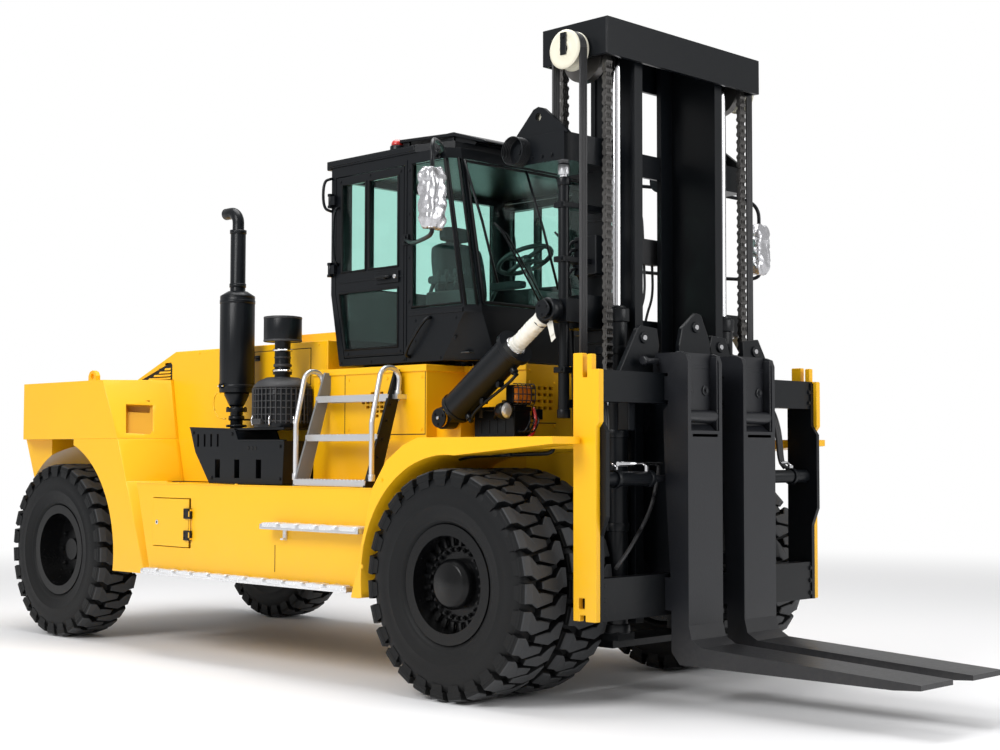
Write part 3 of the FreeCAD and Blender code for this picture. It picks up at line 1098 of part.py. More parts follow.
def carriage():
    wide = ("0 - carriageHalf", "carriageHalf")
    low = box("lowBar", ("barRearX", "barFrontX"), wide, ("lowBarBottom", "lowBarTop"))
    top = slab("topBar", "XZ", [
        ("barRearX", "topBarBottom"),
        ("barFrontX", "topBarBottom"),
        ("barFrontX", "topBarTop"),
        ("barFrontX - 40", "topBarTop"),
        ("barFrontX - 40", "topBarTop - 40"),
        ("barRearX", "topBarTop - 40"),
    ], wide)
    plateY = ("rollerPlateY - rollerPlateWall", "rollerPlateY")
    plate = box("rollerPlate", ("innerRearX + 90", "barRearX"), plateY, ("lowBarBottom + 40",
            "topBarTop - 40"))
    rollers = []
    for index, level in enumerate((700, 1700)):
        rollers.append(rod(f"roller{index}", "Y", 145, ("rollerPlateY", "rollerPlateY + 115"),
                           x="(innerRearX + innerFrontX) / 2", z=level))
    brace = box("carriageBrace", ("barRearX", "barRearX + 20"), ("rollerPlateY - 60",
            "rollerPlateY + 40"), ("lowBarTop - 5", "topBarBottom + 5"))
    flankPlate = slab("carriageFlank", "XZ", [
        ("barRearX - 85", "lowBarBottom"),
        ("barFrontX + 10", "lowBarBottom"),
        ("barFrontX + 10", 1000),
        ("barFrontX + 52", 1110),
        ("barFrontX + 52", 1590),
        ("barFrontX + 10", 1650),
        ("barFrontX + 10", "topBarTop - 10"),
        ("barRearX - 85", "topBarTop - 10"),
    ], ("carriageHalf - 30", "carriageHalf"))
    anchor = box("chainAnchor", ("chainX - 40", "barRearX + 5"), ("chainY - 45", "chainY + 45"),
                 ("topBarTop - 90", "topBarTop - 40"))
    hoseAnchor = box("hoseAnchor", ("pulleyX + pulleyRadius - 10", "barRearX + 5"), ("beamHalf + 30",
            "beamHalf + 96"),
                     ("topBarTop - 80", "topBarTop - 40"))
    spot = {"x": "shiftX", "z": "shiftZ"}
    tube = rod("shiftTube", "Y", 42, ("shiftTubeEnd", "carriageHalf"), **spot)
    bore = rod("shiftTubeBore", "Y", "shiftRodRadius + fitGap", ("shiftTubeEnd - 10", "carriageHalf - 4"),
               **spot)
    solids = fuse("carriageSideSolid", plate, *rollers, brace, flankPlate, anchor, hoseAnchor, tube)
    side = cut("carriageSide", solids, bore)
    node("carriage", fuse("carriageSolid", low, top, side, mirrored("carriageSideFar", side)))
    flank = slab("endPlate", "XZ", [
        ("endPlateRearX - 12", "lowBarBottom"),
        ("endPlateFrontX - 16", "lowBarBottom"),
        ("endPlateFrontX - 16", 1610),
        ("endPlateFrontX + 8", 1640),
        ("endPlateFrontX + 8", "topBarTop"),
        ("endPlateRearX + 130", "topBarTop"),
        ("endPlateRearX + 130", "topBarTop + 88"),
        ("endPlateRearX + 95", "topBarTop + 88"),
        ("endPlateRearX + 95", "topBarTop - 45"),
        ("endPlateRearX + 62", "topBarTop - 45"),
        ("endPlateRearX + 62", "topBarTop + 95"),
        ("endPlateRearX - 12", "topBarTop + 95"),
    ], ("carriageHalf", "endPlateOuterY"))
    window = box("endPlateWindow", ("endPlateRearX + 30", "endPlateRearX + 75"), ("carriageHalf - 10",
            "endPlateOuterY + 10"),
                 ("lowBarBottom + 70", "lowBarBottom + 130"))
    notch = box("endPlateNotch", ("endPlateRearX + 40", "endPlateRearX + 80"), ("carriageHalf - 10",
            "endPlateOuterY + 10"),
                ("lowBarBottom - 5", "lowBarBottom + 35"))
    flank = cut("endPlateCut", flank, window, notch)
    node("carriage_end_plates", both("endPlates", flank))


def forkSide(name, inner):
    """One L-shaped arm: its hook goes over the top bar's lip, and a pad bears on each bar."""
    across = (inner, f"{inner} + forkWide")
    arm = slab(name + "Arm", "XZ", [
        ("shankFootX", "bladeBottom + 70"),
        ("shankFootX + 60", "bladeBottom"),
        ("tipX - 160", "bladeBottom"),
        ("tipX", "bladeBottom + tipLift"),
        ("tipX", "bladeBottom + tipLift + tipThick"),
        ("shankFrontX + 90", "bladeTop"),
        ("shankFrontX + 20", "bladeTop + 40"),
        ("shankFrontX", "bladeTop + 120"),
        ("shankFrontX", "forkTop - forkCorner"),
        ("shankFrontX - 15", "forkTop - 15"),
        ("shankFrontX - forkCorner", "forkTop"),
        ("barFrontX + runningGap + 25", "forkTop"),
        ("barFrontX + runningGap + 25", "topBarBottom - 10"),
        ("shankHeadX", "topBarBottom - 40"),
        ("shankHeadX + 10", 1385),
        ("shankFootX", 640),
    ], across)
    hook = slab(name + "Hook", "XZ", [
        ("barFrontX + runningGap + 35", "topBarTop + fitGap"),
        ("barFrontX + runningGap + 35", "forkTop"),
        ("barRearX + 40", "forkTop"),
        ("barRearX + 8", "forkTop - 40"),
        ("barRearX + 8", "topBarTop - 34"),
        ("barFrontX - 46", "topBarTop - 34"),
        ("barFrontX - 46", "topBarTop + fitGap"),
    ], across)
    pads = []
    levels = (("topBarBottom + 20", "topBarTop - 20"), ("lowBarBottom + 30", "lowBarTop - 20"))
    for index, (low, high) in enumerate(levels):
        pads.append(box(f"{name}Pad{index}", ("barFrontX + runningGap", "shankFootX + 20"), across, (low,
                high)))
    channel = box(name + "Channel", ("shankFrontX - 60", "shankFrontX + 10"),
                  (f"{inner} + 30", f"{inner} + forkWide - 30"), ("topBarBottom - 160", "forkTop + 10"))
    rung = rod(name + "Rung", "Y", 38, (f"{inner} + 20", f"{inner} + forkWide - 20"),
               x="shankFrontX - 42", z="topBarBottom - 75")
    lug = box(name + "Lug", ("shiftX - 22", "shankFrontX - 80"), (inner, f"{inner} + 40"), (1270, 1370))
    ram = rod(name + "Ram", "Y", "shiftRodRadius", (f"{inner} + 20", f"{inner} + shiftRodReach"),
              x="shiftX", z="shiftZ")
    return fuse(name, cut(name + "Body", arm, channel), hook, *pads, rung, lug, ram)


def forks():
    node("fork_left", forkSide("forkLeft", "leftForkInner"))
    node("fork_right", mirrored("forkRight", forkSide("forkRightBlank", "rightForkInner")))


wheelNodes()
driveAxle()
steerAxle()
knuckles()
chassisFrame()
counterweight()
rearFenders()
hood()
engine()
tanks()
deck()
frontFenders()
boards()
ladders()
exhaust()
airCleaner()
tray()
cabGlass(cab())
cabRoof()
cabDoors()
interior()
mirrors()
lamps()
outerMast()
liftCylinders()
innerMast()
topBeam()
chains()
sideTubes()
tiltCylinders()
carriage()
forks()

doc.recompute()
for item in doc.Objects:
    if "Invalid" in item.State or "Error" in item.State:
        raise RuntimeError(f"{item.Label} failed: {item.State}")
os.makedirs("parts", exist_ok=True)
for item in nodes:
    shape = item.Shape
    if shape.isNull() or not shape.isValid():
        raise RuntimeError(f"{item.Label} has no valid shape")
    shape.exportStep(f"parts/{item.Label}.step")
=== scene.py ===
import bmesh
import bpy
import math
from mathutils import Matrix, Vector, noise


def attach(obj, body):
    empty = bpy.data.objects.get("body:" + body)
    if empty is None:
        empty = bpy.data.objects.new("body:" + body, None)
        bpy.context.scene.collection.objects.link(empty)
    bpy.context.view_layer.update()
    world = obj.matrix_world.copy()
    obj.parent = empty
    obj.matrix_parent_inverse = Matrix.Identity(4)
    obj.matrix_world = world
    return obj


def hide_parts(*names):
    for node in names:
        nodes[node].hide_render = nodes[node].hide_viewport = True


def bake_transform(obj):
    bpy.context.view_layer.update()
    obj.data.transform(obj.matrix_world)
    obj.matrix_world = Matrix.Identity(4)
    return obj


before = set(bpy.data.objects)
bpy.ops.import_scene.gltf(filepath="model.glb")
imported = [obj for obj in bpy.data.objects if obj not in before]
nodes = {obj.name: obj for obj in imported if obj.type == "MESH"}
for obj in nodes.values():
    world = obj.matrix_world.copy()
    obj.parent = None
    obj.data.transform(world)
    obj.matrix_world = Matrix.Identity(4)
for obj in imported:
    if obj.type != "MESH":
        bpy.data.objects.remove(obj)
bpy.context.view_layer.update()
scene = bpy.context.scene


def toMesh(name, shape, finish, body="chassis"):
    # closes a bmesh into an object that rides on a body
    data = bpy.data.meshes.new(name)
    shape.to_mesh(data)
    shape.free()
    piece = bpy.data.objects.new(name, data)
    scene.collection.objects.link(piece)
    for entry in [finish] if isinstance(finish, str) else finish:
        data.materials.append(paints[entry])
    if body:
        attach(piece, body)
    return piece


def roundEdges(shape, edges, width, segments=2):
    if width:
        bmesh.ops.bevel(shape, geom=edges, offset=width, offset_type="OFFSET", segments=segments, profile=0.5,
            affect="EDGES", material=-1)


def addBox(shape, low, high, bevel=0.0, segments=2, paint=0):
    # a block between two corners, with its edges rounded
    low, high = (Vector(low), Vector(high))
    place = Matrix.Translation((low + high) / 2) @ Matrix.Diagonal((*high - low, 1.0))
    made = bmesh.ops.create_cube(shape, size=1.0, matrix=place)["verts"]
    edges = list({edge for vert in made for edge in vert.link_edges})
    faces = list({face for vert in made for face in vert.link_faces})
    for face in faces:
        face.material_index = paint
    roundEdges(shape, edges, bevel, segments)
    return made


def addRod(shape, start, end, radius, endRadius=None, sides=24, bevel=0.0, paint=0):
    # a round bar or cone between two points
    start, end = (Vector(start), Vector(end))
    along = end - start
    turn = along.to_track_quat("Z", "Y").to_matrix().to_4x4()
    made = bmesh.ops.create_cone(shape, cap_ends=True, segments=sides, radius1=radius,
        radius2=radius if endRadius is None else endRadius, depth=along.length,
        matrix=Matrix.Translation((start + end) / 2) @ turn)["verts"]
    faces = {face for vert in made for face in vert.link_faces}
    caps = [face for face in faces if len(face.verts) > 4]
    for face in faces:
        face.material_index = paint
        face.smooth = len(face.verts) == 4 and sides > 8
    roundEdges(shape, list({edge for face in caps for edge in face.edges}), bevel)
    return made


def addSpin(shape, profile, center, axis, steps=64, closed=True, paint=0, smooth=True):
    # turns a profile of (radius, along) points round an axis through a point
    center, axis = (Vector(center), Vector(axis).normalized())
    side = axis.orthogonal().normalized()
    verts = [shape.verts.new(center + side * radius + axis * along) for radius, along in profile]
    edges = [shape.edges.new(pair) for pair in zip(verts, verts[1:])]
    if closed:
        edges.append(shape.edges.new((verts[-1], verts[0])))
    made = bmesh.ops.spin(shape, geom=verts + edges, cent=center, axis=axis, angle=math.tau, steps=steps,
        use_merge=True, use_duplicate=False)
    found = {face for item in made["geom_last"] if isinstance(item, bmesh.types.BMVert) for face in item.link_faces}
    grown = set()
    todo = list(found)
    while todo:
        face = todo.pop()
        if face in grown:
            continue
        grown.add(face)
        for edge in face.edges:
            todo.extend(edge.link_faces)
    bmesh.ops.recalc_face_normals(shape, faces=list(grown))
    for face in grown:
        face.smooth = smooth
        face.material_index = paint
    return grown


def addPlate(shape, corners, depth, bevel=0.0, paint=0):
    # a flat outline given in space, thickened along a vector
    verts = [shape.verts.new(corner) for corner in corners]
    base = shape.faces.new(verts)
    out = bmesh.ops.extrude_face_region(shape, geom=[base])["geom"]
    moved = [item for item in out if isinstance(item, bmesh.types.BMVert)]
    bmesh.ops.translate(shape, verts=moved, vec=Vector(depth))
    every = verts + moved
    faces = list({face for vert in every for face in vert.link_faces})
    bmesh.ops.recalc_face_normals(shape, faces=faces)
    for face in faces:
        face.material_index = paint
    roundEdges(shape, list({edge for vert in every for edge in vert.link_edges}), bevel)
    return every


def roundCorners(points, steps=6):
    # a line whose corners are replaced by short curves
    spots = [Vector(point) for point in points]
    line = [spots[0]]
    for before, corner, after in zip(spots, spots[1:], spots[2:]):
        start = (before + corner) / 2
        end = (corner + after) / 2
        for step in range(steps + 1):
            share = step / steps
            line.append(start.lerp(corner, share).lerp(corner.lerp(end, share), share))
    line.append(spots[-1])
    return line


def addTube(shape, points, radius, sides=12, paint=0, rounded=True):
    # a round tube or hose along a line
    line = roundCorners(points) if rounded and len(points) > 2 else [Vector(point) for point in points]
    rings = []
    normal = (line[1] - line[0]).orthogonal().normalized()
    for index, spot in enumerate(line):
        ahead = (line[min(index + 1, len(line) - 1)] - line[max(index - 1, 0)]).normalized()
        normal = (normal - ahead * normal.dot(ahead)).normalized()
        side = ahead.cross(normal)
        rings.append([shape.verts.new(spot + (normal * math.cos(turn) + side * math.sin(turn)) * radius)
            for turn in (math.tau * step / sides for step in range(sides))])
    for first, second in zip(rings, rings[1:]):
        for step in range(sides):
            face = shape.faces.new((first[step], first[(step + 1) % sides], second[(step + 1) % sides],
                second[step]))
            face.smooth = True
            face.material_index = paint
    for ring in (list(reversed(rings[0])), rings[-1]):
        shape.faces.new(ring).material_index = paint


def addBolt(shape, spot, out, radius=0.012, high=0.009, paint=0):
    # a hexagon head on a washer
    spot, out = (Vector(spot), Vector(out).normalized())
    addRod(shape, spot, spot + out * 0.003, radius * 1.35, sides=16, paint=paint)
    addRod(shape, spot, spot + out * high, radius, sides=6, bevel=0.0015, paint=paint)


def ringSpots(center, across, count, up=(0, 1, 0)):
    # points round a flat ring, or round an upright one where up is (0, 0, 1)
    for step in range(count):
        turned = math.tau * step / count
        yield (Vector(center) + (Vector((1, 0, 0)) * math.cos(turned) + Vector(up) * math.sin(turned)) * across)


def flip(shape, geom):
    # a mirrored copy across the centre plane
    made = bmesh.ops.duplicate(shape, geom=geom)["geom"]
    verts = [item for item in made if isinstance(item, bmesh.types.BMVert)]
    faces = [item for item in made if isinstance(item, bmesh.types.BMFace)]
    bmesh.ops.scale(shape, verts=verts, vec=(1, -1, 1))
    bmesh.ops.reverse_faces(shape, faces=faces)


def bothSides(shape):
    flip(shape, shape.verts[:] + shape.edges[:] + shape.faces[:])


def stamp(shape, source, place, mirror=False):
    # drops a copy of a small mesh into a bmesh at a place
    data = source.copy()
    data.transform(place)
    if mirror:
        data.flip_normals()
    shape.from_mesh(data)
    bpy.data.meshes.remove(data)


def stampAll(shape, small, places):
    # copies of a small bmesh at many places, each with a flag for a mirrored one
    source = toStamp(small)
    for place, mirror in places:
        stamp(shape, source, place, mirror)
    bpy.data.meshes.remove(source)


def toStamp(shape):
    # keeps a small bmesh as a mesh to be copied many times
    data = bpy.data.meshes.new("stamp")
    shape.to_mesh(data)
    shape.free()
    return data


# camera: eye-level three-quarter view from the right front
camera = {"place": (8.216, -7.832, 1.46), "look": (-0.70082, 0.71159, 0.04984), "up": (0.03373, -0.03673, 0.99876),
    "lens": 57.125}
lookAt = Vector(camera["look"]).normalized()
right = lookAt.cross(Vector(camera["up"])).normalized()
cameraData = bpy.data.cameras.new("sceneCamera")
cameraData.lens = camera["lens"]
cameraData.sensor_width = 36.0
cameraData.clip_end = 200
sceneCamera = bpy.data.objects.new("sceneCamera", cameraData)
turn = Matrix((right, right.cross(lookAt), -lookAt)).transposed().to_4x4()
sceneCamera.matrix_world = Matrix.Translation(camera["place"]) @ turn
scene.collection.objects.link(sceneCamera)
scene.camera = sceneCamera
print("camera placed")


# shared effects for the finishes
def newGroup(name, inputs, outputs):
    group = bpy.data.node_groups.new(name, "ShaderNodeTree")
    for label, kind, value in inputs:
        socket = group.interface.new_socket(name=label, in_out="INPUT", socket_type="NodeSocket" + kind)
        if value is not None:
            socket.default_value = value
    for label, kind in outputs:
        group.interface.new_socket(name=label, in_out="OUTPUT", socket_type="NodeSocket" + kind)
    return (group, group.nodes.new("NodeGroupInput"), group.nodes.new("NodeGroupOutput"))


def wire(tree, *pairs):
    for source, target in pairs:
        tree.links.new(source, target)


def setInputs(node, values):
    for label, value in values.items():
        node.inputs[label].default_value = value


def mathNode(tree, kind, first, second):
    made = tree.nodes.new("ShaderNodeMath")
    made.operation = kind
    for socket, value in zip(made.inputs, (first, second)):
        if isinstance(value, (int, float)):
            socket.default_value = value
        else:
            tree.links.new(value, socket)
    return made.outputs[0]


def noiseNode(tree, vector, scale, detail=3.0, rough=0.55):
    made = tree.nodes.new("ShaderNodeTexNoise")
    setInputs(made, {"Detail": detail, "Roughness": rough})
    if isinstance(scale, (int, float)):
        made.inputs["Scale"].default_value = scale
    else:
        tree.links.new(scale, made.inputs["Scale"])
    tree.links.new(vector, made.inputs["Vector"])
    return made.outputs["Fac"]


dustSpec = {"cloudScale": 2.6, "fineScale": 34.0, "gain": 4.0, "most": 0.85, "roughen": 0.4}


def buildDust():
    # road dust that thins out with height, broken up by cloudy noise, over a slightly uneven colour
    group, come, go = newGroup("dustOver", [("Color", "Color", (0.5, 0.5, 0.5, 1)),
        ("Dust Color", "Color", (0.35, 0.31, 0.26, 1)), ("Dust Top", "Float", 0.8), ("Dust Amount", "Float", 0.2),
        ("Mottle", "Float", 0.06), ("Roughness", "Float", 0.4), ("Spread", "Float", 0.08)],
        [("Color", "Color"), ("Roughness", "Float")])
    coords = group.nodes.new("ShaderNodeTexCoord").outputs["Object"]
    split = group.nodes.new("ShaderNodeSeparateXYZ")
    group.links.new(coords, split.inputs[0])
    cloud = noiseNode(group, coords, dustSpec["cloudScale"], 6.0, 0.62)
    fine = noiseNode(group, coords, dustSpec["fineScale"], 4.0, 0.6)
    rise = mathNode(group, "DIVIDE", split.outputs["Z"], come.outputs["Dust Top"])
    fade = mathNode(group, "SUBTRACT", 1.0, rise)
    fade = mathNode(group, "MAXIMUM", fade, 0.0)
    broken = mathNode(group, "MULTIPLY", mathNode(group, "MULTIPLY", cloud, fine), dustSpec["gain"])
    mask = mathNode(group, "MULTIPLY", mathNode(group, "MULTIPLY", fade, broken), come.outputs["Dust Amount"])
    mask = mathNode(group, "MINIMUM", mask, dustSpec["most"])
    shade = mathNode(group, "SUBTRACT", cloud, 0.5)
    shade = mathNode(group, "MULTIPLY", shade, come.outputs["Mottle"])
    bright = mathNode(group, "ADD", mathNode(group, "MULTIPLY", shade, 2.0), 1.0)
    scaled = group.nodes.new("ShaderNodeVectorMath")
    scaled.operation = "SCALE"
    mixed = group.nodes.new("ShaderNodeMix")
    mixed.data_type = "RGBA"
    wire(group, (come.outputs["Color"], scaled.inputs[0]), (bright, scaled.inputs["Scale"]),
        (scaled.outputs[0], mixed.inputs["A"]), (come.outputs["Dust Color"], mixed.inputs["B"]),
        (mask, mixed.inputs["Factor"]), (mixed.outputs["Result"], go.inputs["Color"]))
    swing = mathNode(group, "MULTIPLY", mathNode(group, "SUBTRACT", fine, 0.5), come.outputs["Spread"])
    rough = mathNode(group, "ADD", mathNode(group, "ADD", come.outputs["Roughness"], swing),
        mathNode(group, "MULTIPLY", mask, dustSpec["roughen"]))
    group.links.new(rough, go.inputs["Roughness"])
    return group


def buildGrain():
    # fine height variation: sprayed paint, cast iron or rubber by its scale
    group, come, go = newGroup("surfaceGrain", [("Scale", "Float", 200.0), ("Coarse", "Float", 0.3)],
        [("Height", "Float")])
    coords = group.nodes.new("ShaderNodeTexCoord").outputs["Object"]
    fine = noiseNode(group, coords, come.outputs["Scale"], 2.0)
    wide = noiseNode(group, coords, 9.0, 2.0)
    total = mathNode(group, "ADD", fine, mathNode(group, "MULTIPLY", wide, come.outputs["Coarse"]))
    group.links.new(total, go.inputs["Height"])
    return group


dustOver = buildDust()
surfaceGrain = buildGrain()

# what each number of a finish stands for, and what it is where its row stops short
finishKeys = ("rough", "spread", "mottle", "grain", "depth", "metal", "coat", "shine", "dust", "dustTop")
finishRest = (0, 0, 0, 0, 0, 0, 0, 0.5, 0, 1)
finishes = {"yellowPaint": ((0.9, 0.48, 0.004), 0.36, 0.06, 0.035, 260, 0.0006, 0, 0.12, 0.4, 0.1, 1.2),
    "blackPaint": ((0.0044, 0.0056, 0.0074), 0.31, 0.1, 0.1, 220, 0.0008, 0, 0, 0.22, 0.018, 1.5),
    "frameBlack": ((0.0045, 0.005, 0.006), 0.4, 0.12, 0.15, 160, 0.0012, 0, 0, 0.28, 0.06, 1.2),
    "rimBlack": ((0.0026, 0.003, 0.0036), 0.25, 0.1, 0.1, 160, 0.0008, 0, 0, 0.2, 0.014, 1.2),
    "forkSteel": ((0.01, 0.011, 0.014), 0.36, 0.12, 0.18, 120, 0.0012, 0, 0, 0.4, 0.06, 0.6),
    "rubber": ((0.0042, 0.0048, 0.0056), 0.5, 0.14, 0.16, 420, 0.0016, 0, 0, 0.18, 0.014, 1.1),
    "tread": ((0.038, 0.04, 0.043), 0.6, 0.14, 0.16, 420, 0.0016, 0, 0, 0.26, 0.025, 1.1),
    "chrome": ((0.78, 0.78, 0.8), 0.1, 0.04, 0, 500, 0.0002, 1),
    "aluminium": ((0.66, 0.67, 0.69), 0.34, 0.12, 0.08, 180, 0.001, 0.85, 0, 0.5, 0.25, 1.6),
    "chainOil": ((0.14, 0.135, 0.13), 0.34, 0.2, 0.25, 300, 0.0006, 0.9),
    "plastic": ((0.028, 0.028, 0.03), 0.5, 0.08, 0.08, 600, 0.001),
    "cream": ((0.72, 0.69, 0.56), 0.42, 0.08, 0.08, 300, 0.0006),
    "filmWrap": ((0.8, 0.79, 0.72), 0.26, 0.1, 0.1, 60, 0.004, 0, 0.5),
    "foil": ((0.5, 0.5, 0.52), 0.26, 0.16, 0.14, 30, 0.002, 0.8, 0.3),
    "seatCloth": ((0.035, 0.036, 0.04), 0.85, 0.1, 0.12, 500, 0.0015),
    "amber": ((0.85, 0.26, 0.02), 0.16, 0.03, 0, 200, 0.0004, 0, 0.6),
    "redLens": ((0.55, 0.02, 0.015), 0.16, 0.03, 0, 200, 0.0004, 0, 0.6),
    "lampLens": ((0.74, 0.76, 0.78), 0.1, 0.05, 0, 90, 0.003, 0.5, 0.8),
    "filmSilver": ((0.74, 0.75, 0.77), 0.26, 0.12, 0.12, 70, 0.002, 0.35, 0.4),
    "greySteel": ((0.16, 0.165, 0.17), 0.4, 0.1, 0.1, 200, 0.0008),
    # a darker yellow for the counterweight's recess walls and floors: painted shade
    "yellowShade": ((0.62, 0.3, 0.003), 0.42, 0.06, 0.05, 260, 0.0006, 0, 0, 0.3),
    "lining": ((0.04, 0.046, 0.048), 0.6, 0.05, 0.05, 90, 0.0001),
    # near-black for seams and joints, and painted shade behind vents, grilles and holes
    "darkSeamsAndPaintedShade": ((0.006, 0.006, 0.006), 0.9, 0.05, 0, 100, 0.0005)}


def newMaterial(name):
    material = bpy.data.materials.new(name)
    material.use_nodes = True
    return (material, material.node_tree, material.node_tree.nodes["Principled BSDF"])


def makeFinish(name, color, *values):
    spec = dict(zip(finishKeys, values + finishRest[len(values):]))
    material, tree, shader = newMaterial(name)
    dust = tree.nodes.new("ShaderNodeGroup")
    dust.node_tree = dustOver
    setInputs(dust, {"Color": (*color, 1), "Roughness": spec["rough"], "Spread": spec["spread"],
        "Dust Amount": spec["dust"], "Dust Top": spec["dustTop"], "Mottle": spec["mottle"]})
    grain = tree.nodes.new("ShaderNodeGroup")
    grain.node_tree = surfaceGrain
    grain.inputs["Scale"].default_value = spec["grain"]
    bump = tree.nodes.new("ShaderNodeBump")
    setInputs(bump, {"Strength": 0.6, "Distance": spec["depth"]})
    setInputs(shader, {"Metallic": spec["metal"], "Coat Weight": spec["coat"], "Coat Roughness": 0.12,
        "Specular IOR Level": spec["shine"]})
    wire(tree, (dust.outputs["Color"], shader.inputs["Base Color"]),
        (dust.outputs["Roughness"], shader.inputs["Roughness"]), (grain.outputs["Height"], bump.inputs["Height"]),
        (bump.outputs["Normal"], shader.inputs["Normal"]))
    return material


def makeGlass(name, color, rough):
    # tinted glass that lets the lamps shine into the cab
    material, tree, shader = newMaterial(name)
    setInputs(shader, {"Base Color": (*color, 1), "Roughness": rough, "IOR": 1.12, "Transmission Weight": 1.0,
        "Coat Weight": 0.4, "Coat Roughness": 0.02})
    clear = tree.nodes.new("ShaderNodeBsdfTransparent")
    clear.inputs["Color"].default_value = (*color, 1)
    rays = tree.nodes.new("ShaderNodeLightPath")
    blend = tree.nodes.new("ShaderNodeMixShader")
    wire(tree, (rays.outputs["Is Shadow Ray"], blend.inputs["Fac"]), (shader.outputs[0], blend.inputs[1]),
        (clear.outputs[0], blend.inputs[2]), (blend.outputs[0], tree.nodes["Material Output"].inputs["Surface"]))
    return material


paints = {name: makeFinish(name, *row) for name, row in finishes.items()}
paints["glass"] = makeGlass("tintedGlass", (0.62, 0.86, 0.8), 0.0)
nodeFinish = {"yellowPaint": ["counterweight", "rear_fenders", "engine_hood", "fuel_tank_right",
    "hydraulic_tank_left", "deck_body", "front_fenders", "tank_door", "carriage_end_plates"],
    "frameBlack": ["chassis_frame", "drive_axle", "steer_axle", "knuckle_left", "knuckle_right", "engine_block"],
    "rimBlack": ["rims_front_left", "rims_front_right", "rim_rear_left", "rim_rear_right"],
    "blackPaint": ["exhaust_stack", "air_cleaner", "exhaust_tray", "cab_shell", "cab_roof", "cab_door_left",
    "cab_door_right", "outer_mast", "inner_mast", "mast_top_beam", "carriage", "headlamps", "tilt_barrel_left",
    "tilt_barrel_right", "lift_barrels", "mast_side_tubes"], "forkSteel": ["fork_left", "fork_right"],
    "rubber": ["tyres_front_left", "tyres_front_right", "tyre_rear_left", "tyre_rear_right"],
    "chrome": ["lift_rods"], "filmWrap": ["tilt_rod_left", "tilt_rod_right"],
    "aluminium": ["side_steps", "access_ladders"], "chainOil": ["mast_sheaves", "front_falls", "rear_falls"],
    "plastic": ["operator_seat", "dash_console"], "foil": ["wing_mirrors"],
    "glass": ["cab_glass", "door_glass_left", "door_glass_right"]}
for finishName, names in nodeFinish.items():
    for name in names:
        slots = nodes[name].material_slots
        if not slots:
            nodes[name].data.materials.append(paints[finishName])
        for entry in slots:
            entry.material = paints[finishName]
print("finishes made")

# rounded edges on the plain steel pieces
edgeSpec = {"width": 0.006, "angle": 38.0, "segments": 2, "joinGap": 2e-05}
edgeWidths = {"access_ladders": 0.003, "dash_console": 0.004, "cab_roof": 0.016, "mast_top_beam": 0.008,
    "counterweight": 0.014, "rear_fenders": 0.01, "engine_hood": 0.014, "fork_left": 0.01, "fork_right": 0.01,
    "headlamps": 0.005, "wing_mirrors": 0.01, "exhaust_tray": 0.003}


def joinPanels(piece):
    piece.modifiers.new("joinPanels", "WELD").merge_threshold = edgeSpec["joinGap"]


def softenEdges(piece, width):
    soften = piece.modifiers.new("softenEdges", "BEVEL")
    soften.width = width
    soften.segments = edgeSpec["segments"]
    soften.limit_method = "ANGLE"
    soften.angle_limit = math.radians(edgeSpec["angle"])
    soften.harden_normals = True


for name in ("cab_shell", "cab_door_left", "cab_door_right", "deck_body", "front_fenders", "tank_door",
        "fuel_tank_right", "hydraulic_tank_left", "carriage_end_plates", "chassis_frame", "outer_mast",
        "inner_mast", "carriage", "side_steps", "exhaust_stack", "air_cleaner", *edgeWidths):
    joinPanels(nodes[name])
    softenEdges(nodes[name], edgeWidths.get(name, edgeSpec["width"]))
print("edges softened")

# floor and light
studio = {"floorSize": 60.0, "fadeStart": 6.5, "fadeEnd": 15.0, "sky": 0.55, "keyPower": 900.0, "fillPower": 420.0,
    "topPower": 700.0}


def makeFloor():
    shape = bmesh.new()
    bmesh.ops.create_grid(shape, x_segments=1, y_segments=1, size=studio["floorSize"])
    data = bpy.data.meshes.new("studioFloor")
    shape.to_mesh(data)
    shape.free()
    floor = bpy.data.objects.new("studioFloor", data)
    scene.collection.objects.link(floor)
    material, tree, shader = newMaterial("studioFloor")
    setInputs(shader, {"Base Color": (0.86, 0.86, 0.87, 1), "Roughness": 0.65, "Specular IOR Level": 0.15})
    glow = tree.nodes.new("ShaderNodeEmission")
    glow.inputs["Color"].default_value = (1, 1, 1, 1)
    coords = tree.nodes.new("ShaderNodeTexCoord").outputs["Object"]
    length = tree.nodes.new("ShaderNodeVectorMath")
    length.operation = "LENGTH"
    fade = tree.nodes.new("ShaderNodeMapRange")
    fade.interpolation_type = "SMOOTHSTEP"
    setInputs(fade, {"From Min": studio["fadeStart"], "From Max": studio["fadeEnd"]})
    rays = tree.nodes.new("ShaderNodeLightPath")
    seen = mathNode(tree, "MAXIMUM", rays.outputs["Is Camera Ray"],
        mathNode(tree, "MAXIMUM", rays.outputs["Is Glossy Ray"], rays.outputs["Is Transmission Ray"]))
    blend = tree.nodes.new("ShaderNodeMixShader")
    wire(tree, (coords, length.inputs[0]), (length.outputs["Value"], fade.inputs["Value"]))
    share = mathNode(tree, "MULTIPLY", fade.outputs["Result"], seen)
    output = tree.nodes["Material Output"]
    wire(tree, (share, blend.inputs["Fac"]), (shader.outputs[0], blend.inputs[1]),
        (glow.outputs[0], blend.inputs[2]), (blend.outputs[0], output.inputs["Surface"]))
    data.materials.append(material)


